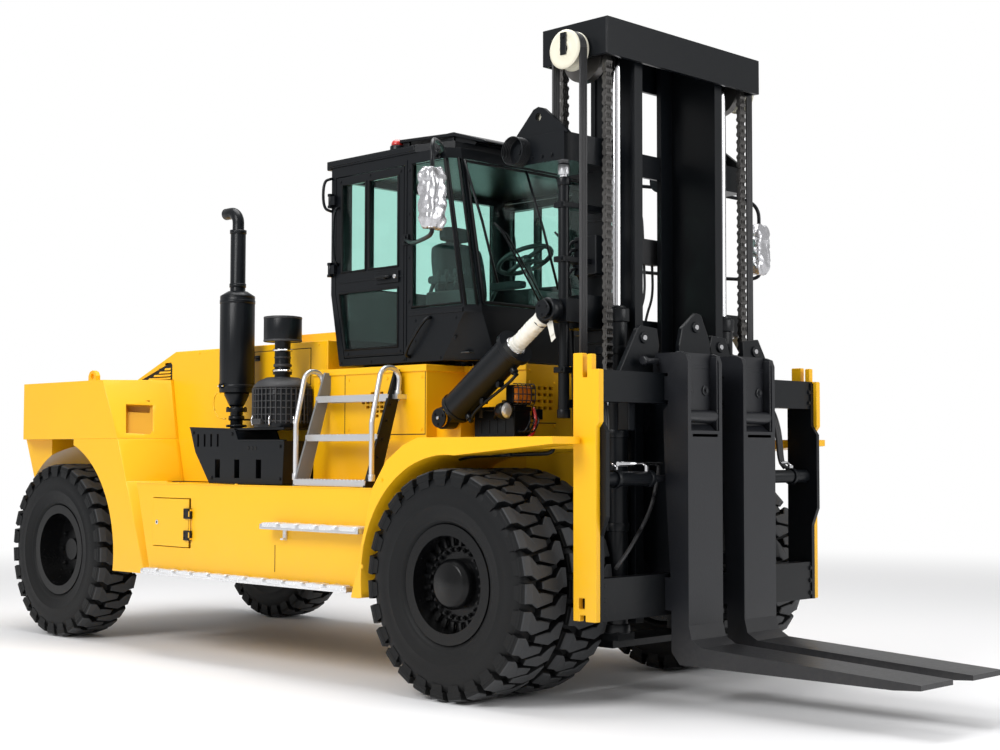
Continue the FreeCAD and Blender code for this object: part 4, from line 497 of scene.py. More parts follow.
def makeSky():
    world = bpy.data.worlds.new("studioSky")
    scene.world = world
    world.use_nodes = True
    tree = world.node_tree
    base = tree.nodes["Background"]
    setInputs(base, {"Color": (1, 1, 1, 1), "Strength": studio["sky"]})
    white = tree.nodes.new("ShaderNodeBackground")
    setInputs(white, {"Color": (1, 1, 1, 1), "Strength": 1.0})
    rays = tree.nodes.new("ShaderNodeLightPath")
    seen = mathNode(tree, "MAXIMUM", rays.outputs["Is Camera Ray"], rays.outputs["Is Transmission Ray"])
    blend = tree.nodes.new("ShaderNodeMixShader")
    wire(tree, (seen, blend.inputs["Fac"]), (base.outputs[0], blend.inputs[1]), (white.outputs[0], blend.inputs[2]),
        (blend.outputs[0], tree.nodes["World Output"].inputs["Surface"]))


def makeLamp(name, place, target, size, power):
    lamp = bpy.data.lights.new(name, "AREA")
    lamp.shape = "DISK"
    lamp.size = size
    lamp.energy = power
    holder = bpy.data.objects.new(name, lamp)
    aim = (Vector(target) - Vector(place)).to_track_quat("-Z", "Y")
    holder.matrix_world = Matrix.Translation(place) @ aim.to_matrix().to_4x4()
    scene.collection.objects.link(holder)


makeFloor()
makeSky()
makeLamp("keyLamp", (1.0, -11.0, 8.0), (0, 0, 1.4), 6.0, studio["keyPower"])
makeLamp("fillLamp", (11.0, 3.0, 5.0), (1, 0, 1.6), 6.0, studio["fillPower"])
makeLamp("topLamp", (-1.0, 0.0, 10.0), (0, 0, 0), 7.0, studio["topPower"])
scene.view_settings.view_transform = "Standard"
print("stage lit")

# tyres: round carcass with interlocking angled lugs
tyreSpec = {"lugTaper": 0.93, "lugEdge": 0.005, "crown": 4.2, "wornBand": 0.01, "radius": 0.69, "half": 0.18,
    "lugCount": 27, "lugDepth": 0.05, "flange": 0.3563, "bead": 0.3053, "beadHalf": 0.1277, "steps": 108}


def buildTyre(shape, center):
    spec = tyreSpec
    floorRadius = spec["radius"] - spec["lugDepth"]
    half = spec["half"]
    side = [(spec["bead"], spec["beadHalf"]), (spec["flange"], spec["beadHalf"]),
        (spec["flange"] + 0.006, spec["beadHalf"] + 0.012), (0.378, 0.152), (0.386, 0.158), (0.392, 0.157),
        (0.4, 0.161), (0.432, 0.172), (0.462, 0.177), (0.468, 0.1795), (0.476, 0.1795), (0.482, 0.1775),
        (0.52, 0.179), (0.556, 0.178), (0.59, 0.172), (0.62, 0.16), (0.634, 0.144), (floorRadius, 0.12),
        (floorRadius + 0.002, 0.0)]
    profile = side + [(radius, -across) for radius, across in reversed(side[:-1])]
    addSpin(shape, profile, center, (0, 1, 0), steps=spec["steps"])
    lug = bmesh.new()
    footprint = [(-0.01, 0.1795), (0.112, 0.1795), (0.114, 0.128), (0.142, 0.086), (0.13, 0.028), (0.112, -0.052),
        (0.068, -0.054), (0.05, 0.034), (0.05, 0.07), (0.014, 0.1), (-0.01, 0.126)]
    low = floorRadius - 0.012
    base = [lug.verts.new((along, across, low)) for along, across in footprint]
    face = lug.faces.new(base)
    out = bmesh.ops.extrude_face_region(lug, geom=[face])["geom"]
    top = [item for item in out if isinstance(item, bmesh.types.BMVert)]
    middle = Vector((0.07, 0.085, 0.0))
    for vert in top:
        flat = Vector((vert.co.x, vert.co.y, 0.0)) - middle
        vert.co = middle + flat * spec["lugTaper"] + Vector((0, 0, spec["radius"] - 0.003))
    shoulder = addBox(lug, (-0.002, 0.15, 0.585), (0.106, half, 0.668))
    for vert in shoulder:
        if vert.co.z < 0.6:
            vert.co.y -= 0.004 if vert.co.y > 0.17 else -0.004
            vert.co.x = 0.052 + (vert.co.x - 0.052) * 0.86
        elif vert.co.y > 0.17:
            vert.co.y = half - 0.0005
    bmesh.ops.recalc_face_normals(lug, faces=lug.faces[:])
    edges = [edge for edge in lug.edges if min((vert.co.z for vert in edge.verts)) > low + 0.01]
    roundEdges(lug, edges, spec["lugEdge"], 1)
    for face in lug.faces:
        # the worn face of a lug is paler than its flanks
        if min((vert.co.z for vert in face.verts)) > spec["radius"] - spec["wornBand"]:
            face.material_index = 1
    for vert in lug.verts:
        # wrap the flat footprint round the tread
        angle = vert.co.x / spec["radius"]
        height = min(vert.co.z, spec["radius"] - 0.0003)
        if vert.co.z > 0.66:
            across = max(0.0, abs(vert.co.y) - 0.12)
            height -= across * across * spec["crown"]
        vert.co = Vector((height * math.sin(angle), vert.co.y, height * math.cos(angle)))
    pitch = math.tau / spec["lugCount"]
    places = []
    for index in range(spec["lugCount"] * 2):
        turned = Matrix.Translation(center) @ Matrix.Rotation(pitch * index / 2, 4, "Y")
        places.append((turned @ Matrix.Diagonal((1, -1 if index % 2 else 1, 1, 1)), index % 2 > 0))
    stampAll(shape, lug, places)


frontAxle = (1.39, 0.0, 0.69)
rearAxle = (-3.28, 0.0, 0.69)
for side, sign in (("Left", 1), ("Right", -1)):
    lower = side.lower()
    shape = bmesh.new()
    for across in (0.805, 1.205):
        buildTyre(shape, (frontAxle[0], across * sign, frontAxle[2]))
    front = toMesh("twinTyres" + side, shape, ("rubber", "tread"), "wheels_front_" + lower)
    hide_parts("tyres_front_" + lower)
    shape = bmesh.new()
    buildTyre(shape, (rearAxle[0], 1.06 * sign, rearAxle[2]))
    rear = toMesh("steerTyre" + side, shape, ("rubber", "tread"), "wheel_rear_" + lower)
    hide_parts("tyre_rear_" + lower)
print("tyres made")

# wheel nuts, clamps and hub covers
nutSpec = {"clampY": 1.236, "faceY": 1.245, "coverY": 1.275, "rearY": 1.032, "count": 24, "ringRadius": 0.205,
    "rearCount": 10}


def addNuts(shape, center, sign, count, ring, size, stand):
    for spot in ringSpots(center, ring, count, up=(0, 0, 1)):
        addRod(shape, spot, spot + Vector((0, sign * stand, 0)), size, sides=6)
        addRod(shape, spot, spot + Vector((0, sign * stand * 1.7, 0)), size * 0.55, sides=10)


for side, sign in (("Left", 1), ("Right", -1)):
    shape = bmesh.new()
    face = (frontAxle[0], nutSpec["faceY"] * sign, frontAxle[2])
    addNuts(shape, face, sign, nutSpec["count"], nutSpec["ringRadius"], 0.015, 0.018)
    clamp = bmesh.new()
    addBox(clamp, (-0.012, 0, 0.226), (0.012, 0.034, 0.286), bevel=0.004)
    addBox(clamp, (-0.017, 0, 0.24), (0.017, 0.02, 0.27), bevel=0.003)
    places = []
    for index in range(nutSpec["count"]):
        turned = Matrix.Rotation(math.tau * (index + 0.5) / nutSpec["count"], 4, "Y")
        place = Matrix.Translation((frontAxle[0], nutSpec["clampY"] * sign, frontAxle[2])) @ turned
        places.append((place @ Matrix.Diagonal((1, sign, 1, 1)), sign < 0))
    stampAll(shape, clamp, places)
    cover = [(0.0, 0.07), (0.062, 0.07), (0.07, 0.066), (0.12, 0.064), (0.132, 0.058), (0.14, 0.04), (0.15, 0.034),
        (0.15, 0.0), (0.0, 0.0)]
    spun = [(radius, along * sign) for radius, along in cover]
    addSpin(shape, spun[:-1], (frontAxle[0], nutSpec["coverY"] * sign, frontAxle[2]), (0, 1, 0), steps=48,
        closed=False)
    toMesh("hubParts" + side, shape, "rimBlack", "wheels_front_" + side.lower())
    shape = bmesh.new()
    addNuts(shape, (rearAxle[0], nutSpec["rearY"] * sign, rearAxle[2]), sign, nutSpec["rearCount"], 0.2, 0.017,
        0.02)
    toMesh("rearNuts" + side, shape, "rimBlack", "wheel_rear_" + side.lower())
print("wheel parts made")

# lift chains: plates on pins, over the sheaves and down to the carriage
chainSpec = {"wide": (-0.0245, -0.0085, 0.0085, 0.0245), "slim": (-0.0165, 0.0, 0.0165), "pinHalf": 0.031,
    "pitch": 0.0508, "round": 0.0205, "waist": 0.013, "plate": 0.0055, "pin": 0.009, "across": 0.675,
    "frontX": 2.065, "rearX": 1.715, "top": 3.868, "frontFoot": 1.905, "rearFoot": 3.39}


def chainPlates(offsets):
    spec = chainSpec
    shape = bmesh.new()
    half = spec["pitch"] / 2
    outline = []
    for middle, first in ((half, -50), (-half, 130)):
        for step in range(7):
            angle = math.radians(first + step * 280 / 6)
            outline.append((math.cos(angle) * spec["round"], middle + math.sin(angle) * spec["round"]))
        outline.append((spec["waist"] * (-1 if middle > 0 else 1), 0.0))
    for offset in offsets:
        corners = [(x, offset - spec["plate"] / 2, z) for x, z in outline]
        addPlate(shape, corners, (0, spec["plate"], 0))
    return toStamp(shape)


def addChain(shape, x, y, low, high):
    spec = chainSpec
    wide = chainPlates(spec["wide"])
    slim = chainPlates(spec["slim"])
    count = round((high - low) / spec["pitch"])
    pitch = (high - low) / count
    for index in range(count):
        spot = low + pitch * (index + 0.5)
        stamp(shape, wide if index % 2 else slim, Matrix.Translation((x, y, spot)))
        addRod(shape, (x, y - spec["pinHalf"], spot - pitch / 2), (x, y + spec["pinHalf"], spot - pitch / 2),
            spec["pin"], sides=8)
    for source in (wide, slim):
        bpy.data.meshes.remove(source)


hoseSpec = {"row": (0.811, 0.827, 0.843, 0.859), "radius": 0.0085, "wrap": 0.109, "middleX": 1.905, "middleZ": 3.88,
    "frontFoot": 1.902, "rearFoot": 3.388}
pulleyX, pulleyZ = (hoseSpec["middleX"], hoseSpec["middleZ"])
for label, x, low, upper, lower, nodeName in (("Front", chainSpec["frontX"], chainSpec["frontFoot"], "mast_inner",
        "carriage_body", "front_falls"), ("Rear", chainSpec["rearX"], chainSpec["rearFoot"], "mast_inner",
        "mast_outer", "rear_falls")):
    shape = bmesh.new()
    addChain(shape, x, chainSpec["across"], low, chainSpec["top"])
    bothSides(shape)
    chain = toMesh("liftChains" + label, shape, "chainOil", None)
    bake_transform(chain)
    shape = bmesh.new()
    reach = hoseSpec["wrap"] if label == "Front" else -hoseSpec["wrap"]
    foot = hoseSpec["frontFoot"] if label == "Front" else hoseSpec["rearFoot"]
    for y in hoseSpec["row"]:
        spots = [(pulleyX + reach, y, pulleyZ - share * (pulleyZ - foot)) for share in (0, 0.25, 0.5, 0.75, 1)]
        addTube(shape, spots, hoseSpec["radius"], sides=10, rounded=False)
    bothSides(shape)
    hoses = toMesh("liftHoses" + label, shape, "plastic", None)
    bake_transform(hoses)
    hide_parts(nodeName)

# hoses bent over the cream pulleys, and the pulleys' rims
shape = bmesh.new()
for y in hoseSpec["row"]:
    spots = []
    for step in range(17):
        turn = math.pi * step / 16
        spots.append((pulleyX + math.cos(turn) * hoseSpec["wrap"], y, pulleyZ + math.sin(turn) * hoseSpec["wrap"]))
    addTube(shape, spots, hoseSpec["radius"], sides=10, rounded=False)
bothSides(shape)
toMesh("hoseWraps", shape, "plastic", "mast_inner")
pulleyProfile = [(0.03, 0.784), (0.102, 0.784), (0.118, 0.79), (0.119, 0.798), (0.104, 0.802), (0.101, 0.806),
    (0.101, 0.864), (0.104, 0.868), (0.119, 0.872), (0.118, 0.881), (0.1, 0.886), (0.084, 0.884), (0.078, 0.8835),
    (0.052, 0.8835), (0.046, 0.887), (0.03, 0.887)]
shape = bmesh.new()
addSpin(shape, pulleyProfile, (pulleyX, 0, pulleyZ), (0, 1, 0), steps=56)
addSpin(shape, [(0.0, 0.893), (0.02, 0.893), (0.026, 0.888), (0.03, 0.88), (0.03, 0.78)], (pulleyX, 0, pulleyZ),
    (0, 1, 0), steps=24, closed=False, paint=1)
addBox(shape, (pulleyX - 0.024, 0.888, pulleyZ - 0.036), (pulleyX + 0.024, 0.895, pulleyZ + 0.1), bevel=0.003,
    paint=1)
addBolt(shape, (pulleyX, 0.895, pulleyZ + 0.072), (0, 1, 0), 0.009, 0.007, paint=1)
bothSides(shape)
toMesh("hosePulleys", shape, ("cream", "blackPaint"), "mast_inner")
print("chains and hoses made")

# fittings on the outer mast
mastSpec = {"tubeX": 1.79, "tubeY": 0.76, "liftX": 2.01, "liftY": 0.53}
shape = bmesh.new()
tube = (mastSpec["tubeX"], mastSpec["tubeY"])
for level in (1.95, 2.62, 2.95):
    addBox(shape, (tube[0] - 0.045, 0.448, level), (tube[0] + 0.045, tube[1] + 0.045, level + 0.035), bevel=0.005)
    addBolt(shape, (tube[0] + 0.02, tube[1] + 0.045, level + 0.018), (0, 1, 0), 0.01, 0.008)
lift = (mastSpec["liftX"], mastSpec["liftY"])
for seat in ringSpots((*lift, 2.336), 0.068, 8):
    addBolt(shape, seat, (0, 0, 1), 0.007, 0.007)
for level in (1.0, 1.56, 2.06):
    addBox(shape, (1.905, 0.452, level), (2.01, 0.612, level + 0.05), bevel=0.006)
    addRod(shape, (*lift, level), (*lift, level + 0.05), 0.076, sides=36, bevel=0.003)
addTube(shape, [(2.01, 0.6, 0.5), (2.03, 0.64, 0.5), (2.02, 0.65, 0.75), (1.96, 0.64, 1.05), (1.89, 0.56, 1.2),
    (1.87, 0.47, 1.22)], 0.013)
for ring in range(7):
    place = 0.462 + ring * 0.014
    addSpin(shape, [(0.084, place), (0.09, place + 0.003), (0.09, place + 0.008), (0.084, place + 0.011)],
        (1.56, 0.42, 3.3), (0, 1, 0), steps=36)
for foot, head, thick, sides, bevel, paint in (((*tube, 3.1), (*tube, 3.212), 0.0245, 28, 0, 1),
        ((*tube, 3.15), (*tube, 3.214), 0.036, 12, 0.004, 2), ((*tube, 3.085), (*tube, 3.135), 0.042, 28, 0.005, 0),
        ((*tube, 1.676), (*tube, 1.73), 0.041, 28, 0.005, 0), ((*lift, 2.255), (*lift, 2.336), 0.08, 36, 0.006, 0),
        ((*lift, 2.336), (*lift, 2.356), 0.056, 36, 0.004, 0), ((*lift, 0.395), (*lift, 0.45), 0.08, 36, 0.006, 0),
        ((1.56, 0.895, 3.3), (1.56, 0.912, 3.3), 0.05, 32, 0.005, 0),
        ((1.56, 0.91, 3.3), (1.56, 0.918, 3.3), 0.018, 6, 0, 0),
        ((1.7, 0.852, 3.5), (1.7, 0.859, 3.5), 0.042, 32, 0.002, 3)):
    addRod(shape, foot, head, thick, sides=sides, bevel=bevel, paint=paint)
for x in (1.66, 1.74, 1.82):
    addBolt(shape, (x, 0.9, 3.252), (0, 1, 0), 0.011, 0.009)
addBox(shape, (1.7, 0.452, 1.345), (1.87, 0.505, 1.56), bevel=0.008)
addBox(shape, (1.69, 0.452, 2.56), (1.875, 0.56, 2.8), bevel=0.008)
for level in (2.6, 2.66, 2.72, 2.77):
    addTube(shape, [(1.72, 0.55, level), (1.7, 0.6, level), (1.66, 0.6, level - 0.1), (1.64, 0.52, level - 0.35),
        (1.64, 0.49, 1.4)], 0.01)
for level in (0.62, 1.06, 1.84, 2.14, 2.9):
    addBox(shape, (1.655, 0.448, level), (1.9, 0.458, level + 0.012), bevel=0.003)
bothSides(shape)
toMesh("mastFittings", shape, ("blackPaint", "chrome", "aluminium", "cream"), "mast_outer")

# cables and a junction box between the rails
shape = bmesh.new()
addBox(shape, (1.6, 0.1, 2.7), (1.652, 0.33, 2.87), bevel=0.01)
for x, y in ((1.62, 0.15), (1.62, 0.21), (1.63, 0.28)):
    addTube(shape, [(x, y, 2.71), (x, y + 0.01, 2.5), (x - 0.02, y - 0.03, 2.38), (x - 0.03, y - 0.05, 2.26)],
        0.0085, sides=10)
addTube(shape, [(1.62, 0.2, 2.86), (1.61, 0.2, 3.05), (1.6, 0.12, 3.12), (1.6, 0.1, 3.32)], 0.009, sides=10)
addRod(shape, (1.58, -0.25, 2.62), (1.58, -0.25, 2.92), 0.028, sides=24, bevel=0.004)
addTube(shape, [(1.58, -0.25, 2.63), (1.585, -0.25, 2.45), (1.6, -0.2, 2.35), (1.6, -0.2, 2.2)], 0.01, sides=10)
toMesh("mastCables", shape, "plastic", "mast_outer")
print("mast fittings made")

# cab trim: gaskets, handles, wipers and the roof plate
cabSpec = {"half": 0.85, "gasket": 0.008, "doorWindow": (-0.19, 0.39, 2.705, 3.31),
    "lowWindow": ((-0.15, 2.17), (0.39, 2.17), (0.39, 2.56), (-0.215, 2.56)), "bar": (0.06, 0.095), "wiper": 0.007}


def screenX(level):
    # front face of the windscreen at a height
    return 1.054 - (level - 2.56) * 0.1864 if level > 2.56 else 1.09 - (level - 2.37) * 0.19


def addLoop(shape, corners, radius, paint=0, sides=8):
    # a thin round seal along a closed outline
    addTube(shape, list(corners) + list(corners[:2]), radius, sides=sides, paint=paint, rounded=False)


for side, sign in (("Left", 1), ("Right", -1)):
    shape = bmesh.new()
    left, right, low, high = cabSpec["doorWindow"]
    face = (cabSpec["half"] + 0.001) * sign
    for start, end in ((left, cabSpec["bar"][0]), (cabSpec["bar"][1], right)):
        addLoop(shape, [(start, face, low), (end, face, low), (end, face, high), (start, face, high)],
            cabSpec["gasket"], paint=1)
    addLoop(shape, [(x, face, z) for x, z in cabSpec["lowWindow"]], cabSpec["gasket"], paint=1)
    for low, high in (((-0.225, 2.63), (0.445, 2.64)), ((-0.16, 2.125), (0.445, 2.131))):
        addBox(shape, (low[0], face - 0.004, low[1]), (high[0], face + 0.006, high[1]), bevel=0.002)
    addBox(shape, (0.17, face - 0.006, 2.598), (0.405, face + 0.012 * sign, 2.676), bevel=0.004)
    addBox(shape, (0.195, min(face, face + 0.04 * sign), 2.622), (0.3, max(face, face + 0.04 * sign), 2.652),
        bevel=0.006)
    addTube(shape, [(0.205, face, 2.637), (0.205, face + 0.045 * sign, 2.637), (0.33, face + 0.045 * sign, 2.637),
        (0.33, face, 2.637)], 0.009, sides=10)
    addRod(shape, (0.372, face, 2.637), (0.372, face + 0.02 * sign, 2.637), 0.014, sides=20, bevel=0.002, paint=2)
    addTube(shape, [(-0.225, face, 2.76), (-0.225, face + 0.05 * sign, 2.79), (-0.225, face + 0.05 * sign, 3.13),
        (-0.225, face, 3.16)], 0.01, sides=10)
    for x, z in ((-0.21, 3.335), (0.1, 3.345), (0.41, 3.335), (-0.12, 2.14), (0.41, 2.14)):
        addBolt(shape, (x, face, z), (0, sign, 0), 0.008, 0.005)
    toMesh("doorTrim" + side, shape, ("blackPaint", "rubber", "chrome"), "door_" + side.lower())
shape = bmesh.new()
face = cabSpec["half"] + 0.001
addLoop(shape, [(0.53, face, 2.422), (0.998, face, 2.422), (0.842, face, 3.36), (0.53, face, 3.36)],
    cabSpec["gasket"], paint=1)
for x, y in ((1.026, 0.834), (1.07, 0.775)):
    addTube(shape, [(x - 0.006, y, 2.4), (x - 0.186, y, 3.375)], 0.009, sides=8, paint=1, rounded=False)
addTube(shape, [(0.512, face, 2.095), (0.5, face + 0.045, 2.115), (0.692, face + 0.045, 2.33),
    (0.712, face, 2.345)], 0.011, sides=12)
addBox(shape, (0.47, face - 0.006, 2.07), (0.476, face + 0.004, 3.4), bevel=0.001)
addBox(shape, (0.5, face - 0.006, 2.365), (1.01, face + 0.008, 2.392), bevel=0.003)
addBox(shape, (-0.33, 0.845, 3.452), (0.56, 0.866, 3.482), bevel=0.004)
addBox(shape, (-0.35, 0.6, 3.43), (-0.305, 0.858, 3.48), bevel=0.006)
addTube(shape, [(-0.3, 0.852, 3.14), (-0.33, 0.905, 3.16), (-0.33, 0.905, 3.35), (-0.3, 0.852, 3.37)], 0.01,
    sides=10)
for z in (2.46, 2.75, 3.04, 3.33):
    addBolt(shape, (0.495, face, z), (0, 1, 0), 0.008, 0.005)
for x, z in ((0.56, 2.2), (0.56, 2.33), (0.94, 2.2), (0.94, 2.33)):
    addBolt(shape, (x, face - 0.002, z), (0, 1, 0), 0.009, 0.006)
for x, z in ((-0.19, 2.085), (0.12, 2.08), (0.45, 2.08), (0.8, 2.08)):
    addBolt(shape, (x, face - 0.002, z), (0, 1, 0), 0.009, 0.006)
bothSides(shape)
addLoop(shape, [(screenX(level) + 0.004, y, level) for y, level in ((-0.735, 2.425), (-0.735, 2.56),
    (-0.735, 3.355), (0.735, 3.355), (0.735, 2.56), (0.735, 2.425))], 0.011, paint=1)
for foot, elbow, tip in (((1.105, -0.17, 2.375), (1.01, -0.5, 2.89), (1.0, -0.56, 2.96)),
        ((1.105, 0.33, 2.375), (1.01, 0.08, 2.89), (1.0, 0.02, 2.96))):
    addRod(shape, (foot[0] - 0.03, foot[1], foot[2] - 0.01), (foot[0] + 0.018, foot[1], foot[2]), 0.026, sides=20,
        bevel=0.004)
    addTube(shape, [foot, (elbow[0] + 0.016, elbow[1], elbow[2]), tip], cabSpec["wiper"], sides=8, rounded=False)
    addTube(shape, [(foot[0], foot[1] + 0.05, foot[2]), (elbow[0] + 0.02, elbow[1] + 0.028, elbow[2]), tip],
        cabSpec["wiper"] * 0.8, sides=8, rounded=False)
    addTube(shape, [(screenX(2.56) + 0.016, tip[1] - 0.04, 2.56), (screenX(2.96) + 0.02, tip[1] - 0.11, 2.96),
        (screenX(3.36) + 0.016, tip[1] - 0.2, 3.36)], 0.009, sides=6, rounded=False)
addPlate(shape, [(x, -0.63, z) for x, z in ((0.15, 3.612), (0.7, 3.586), (0.975, 3.5), (0.99, 3.488), (0.96, 3.484),
    (0.69, 3.562), (0.15, 3.59))], (0, 1.26, 0), bevel=0.004)
for x, y in ((0.2, -0.6), (0.2, 0.6), (0.64, -0.6), (0.64, 0.6)):
    addBox(shape, (x - 0.03, y - 0.012, 3.488), (x + 0.03, y + 0.012, 3.596), bevel=0.004)
addBox(shape, (-0.24, -0.52, 3.488), (0.12, 0.52, 3.56), bevel=0.02, segments=3)
for x in (-0.2, -0.14, -0.08, -0.02, 0.04):
    addBox(shape, (x, -0.48, 3.556), (x + 0.016, 0.48, 3.568), bevel=0.004)
addRod(shape, (0.11, -0.61, 3.488), (0.11, -0.61, 3.577), 0.052, sides=32, bevel=0.006)
toMesh("cabTrim", shape, ("blackPaint", "rubber"))
shape = bmesh.new()
addSpin(shape, [(0.0, 0.046), (0.02, 0.044), (0.036, 0.034), (0.043, 0.018), (0.044, 0.0)], (0.11, -0.61, 3.575),
    (0, 0, 1), steps=36, closed=False)
bmesh.ops.holes_fill(shape, edges=shape.edges[:])
toMesh("beaconDome", shape, "redLens", "chassis")
print("cab trim made")

# operator's seat, armrests and levers
seatSpec = {"base": 0.86, "pinch": 0.13, "pinchWidth": 0.09, "crown": 0.16, "cuts": 9}


def addPad(name, low, high, lean=0.0, channels=(), axis=2):
    # a stuffed pad: a subdivided block crowned on its faces and pulled in between its corners
    shape = bmesh.new()
    low, high = (Vector(low), Vector(high))
    half = (high - low) / 2
    bmesh.ops.create_cube(shape, size=2.0)
    bmesh.ops.subdivide_edges(shape, edges=shape.edges[:], cuts=seatSpec["cuts"], use_grid_fill=True)
    for vert in shape.verts:
        spot = vert.co.copy()
        for item in range(3):
            others = [spot[other] for other in range(3) if other != item]
            full = (1 - others[0] ** 4) * (1 - others[1] ** 4)
            vert.co[item] = spot[item] * (seatSpec["base"] + seatSpec["crown"] * full)
        for mark in channels:
            near = math.exp(-((spot[(axis + 1) % 3] - mark) / seatSpec["pinchWidth"]) ** 2)
            if abs(spot[axis]) > 0.8:
                vert.co[axis] *= 1 - seatSpec["pinch"] * near
        vert.co = Vector((vert.co[item] * half[item] for item in range(3))) + (low + high) / 2
        vert.co.x -= (vert.co.z - low.z) * lean
    for face in shape.faces:
        face.smooth = True
    pad = toMesh(name, shape, "seatCloth", "chassis")
    smooth = pad.modifiers.new("smoothPad", "SUBSURF")
    smooth.levels = smooth.render_levels = 1
    return pad


seatPads = [addPad("seatCushion", (0.07, -0.245, 2.395), (0.535, 0.245, 2.505), channels=(-0.55, 0.55), axis=2),
    addPad("seatBack", (0.075, -0.235, 2.5), (0.185, 0.235, 2.96), lean=0.16, channels=(-0.45, 0.1, 0.6), axis=0),
    addPad("headPad", (0.005, -0.13, 2.975), (0.085, 0.13, 3.08)),
    addPad("armPadLeft", (0.12, 0.275, 2.64), (0.44, 0.345, 2.7)),
    addPad("armPadRight", (0.12, -0.345, 2.64), (0.44, -0.275, 2.7))]
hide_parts("operator_seat")
shape = bmesh.new()
addBox(shape, (0.09, -0.215, 2.31), (0.5, 0.215, 2.4), bevel=0.02, segments=3)
for level in (2.15, 2.18, 2.21, 2.24, 2.27):
    addBox(shape, (0.13, -0.18, level), (0.44, 0.18, level + 0.024), bevel=0.01)
addBox(shape, (0.11, -0.2, 2.106), (0.47, 0.2, 2.15), bevel=0.008)
addBox(shape, (0.02, -0.07, 2.9), (0.05, 0.07, 3.03), bevel=0.01)
for sign in (1, -1):
    addTube(shape, [(0.13, 0.255 * sign, 2.43), (0.1, 0.3 * sign, 2.56), (0.16, 0.31 * sign, 2.65)], 0.014)
    addBox(shape, (0.1, min(0.225 * sign, 0.262 * sign), 2.34), (0.22, max(0.225 * sign, 0.262 * sign), 2.46),
        bevel=0.01)
addBox(shape, (0.3, -0.52, 2.106), (0.7, -0.4, 2.56), bevel=0.018, segments=3)
for x in (0.36, 0.44, 0.52, 0.6):
    addRod(shape, (x, -0.46, 2.555), (x + 0.01, -0.46, 2.67), 0.007, sides=10)
    addRod(shape, (x + 0.008, -0.46, 2.66), (x + 0.013, -0.46, 2.71), 0.016, 0.012, sides=16, bevel=0.004)
addBox(shape, (0.905, -0.15, 2.425), (0.96, 0.15, 2.56), bevel=0.015, segments=3)
addBox(shape, (0.9, 0.26, 2.42), (0.925, 0.46, 2.6), bevel=0.008)
for y in (-0.1, -0.03, 0.04, 0.11):
    addRod(shape, (0.898, y, 2.49), (0.905, y, 2.49), 0.024, sides=24, bevel=0.002, paint=1)
for x, y in ((0.86, -0.12), (0.86, 0.02), (0.86, 0.16)):
    addPlate(shape, [(x, y, 2.2), (x, y + 0.075, 2.2), (x - 0.06, y + 0.075, 2.12), (x - 0.06, y, 2.12)],
        (0.008, 0, 0.01), bevel=0.002)
addBox(shape, (-0.15, -0.79, 2.106), (1.0, 0.79, 2.114), bevel=0.003, paint=2)
addBox(shape, (-0.212, -0.78, 2.13), (-0.196, 0.78, 2.6), bevel=0.005, paint=2)
for x in (-0.1, 0.05, 0.2, 0.35, 0.5, 0.65, 0.8):
    addBox(shape, (x, -0.77, 2.113), (x + 0.06, 0.77, 2.119), bevel=0.002, paint=2)
toMesh("seatFrame", shape, ("plastic", "aluminium", "lining"), "chassis")
print("seat made")

# wrapped mirrors on bent arms
mirrorSpec = {"bands": (-0.52, 0.02, 0.5), "bandWidth": 0.045, "squeeze": 0.1, "creaseWide": 17.0,
    "creaseFine": 38.0, "low": (1.482, 1.532, 2.756), "high": (1.598, 1.695, 3.12), "cuts": 26, "fold": 0.013,
    "arm": 0.013}


def addWrap(shape, low, high, sign):
    # crumpled film round a flat mirror head, with three tight bands
    spec = mirrorSpec
    low, high = (Vector(low), Vector(high))
    half = (high - low) / 2
    wrap = bmesh.new()
    bmesh.ops.create_cube(wrap, size=2.0)
    bmesh.ops.subdivide_edges(wrap, edges=wrap.edges[:], cuts=spec["cuts"], use_grid_fill=True)
    for vert in wrap.verts:
        spot = vert.co.copy()
        rounding = (abs(spot.x) ** 4 + abs(spot.y) ** 4 + 1e-06) ** 0.25
        pulled = Vector((spot.x / max(rounding, 1.0), spot.y / max(rounding, 1.0), spot.z))
        ends = 1 - 0.34 * max(0.0, abs(spot.z) - 0.62) ** 1.5 / 0.38 ** 1.5
        band = sum((math.exp(-((spot.z - mark) / spec["bandWidth"]) ** 2) for mark in spec["bands"]))
        thin = ends * (1 - spec["squeeze"] * band)
        place = Vector((pulled.x * half.x * thin, pulled.y * half.y * thin, pulled.z * half.z))
        place += (low + high) / 2
        creased = noise.noise(place * spec["creaseWide"]) + 0.5 * abs(noise.noise(place * spec["creaseFine"]
            + Vector((3, 1, 7))))
        vert.co = place + vert.normal * (creased - 0.3) * spec["fold"]
        vert.co.y *= sign
    if sign < 0:
        bmesh.ops.reverse_faces(wrap, faces=wrap.faces[:])
    for face in wrap.faces:
        face.smooth = True
    stampAll(shape, wrap, [(Matrix(), False)])


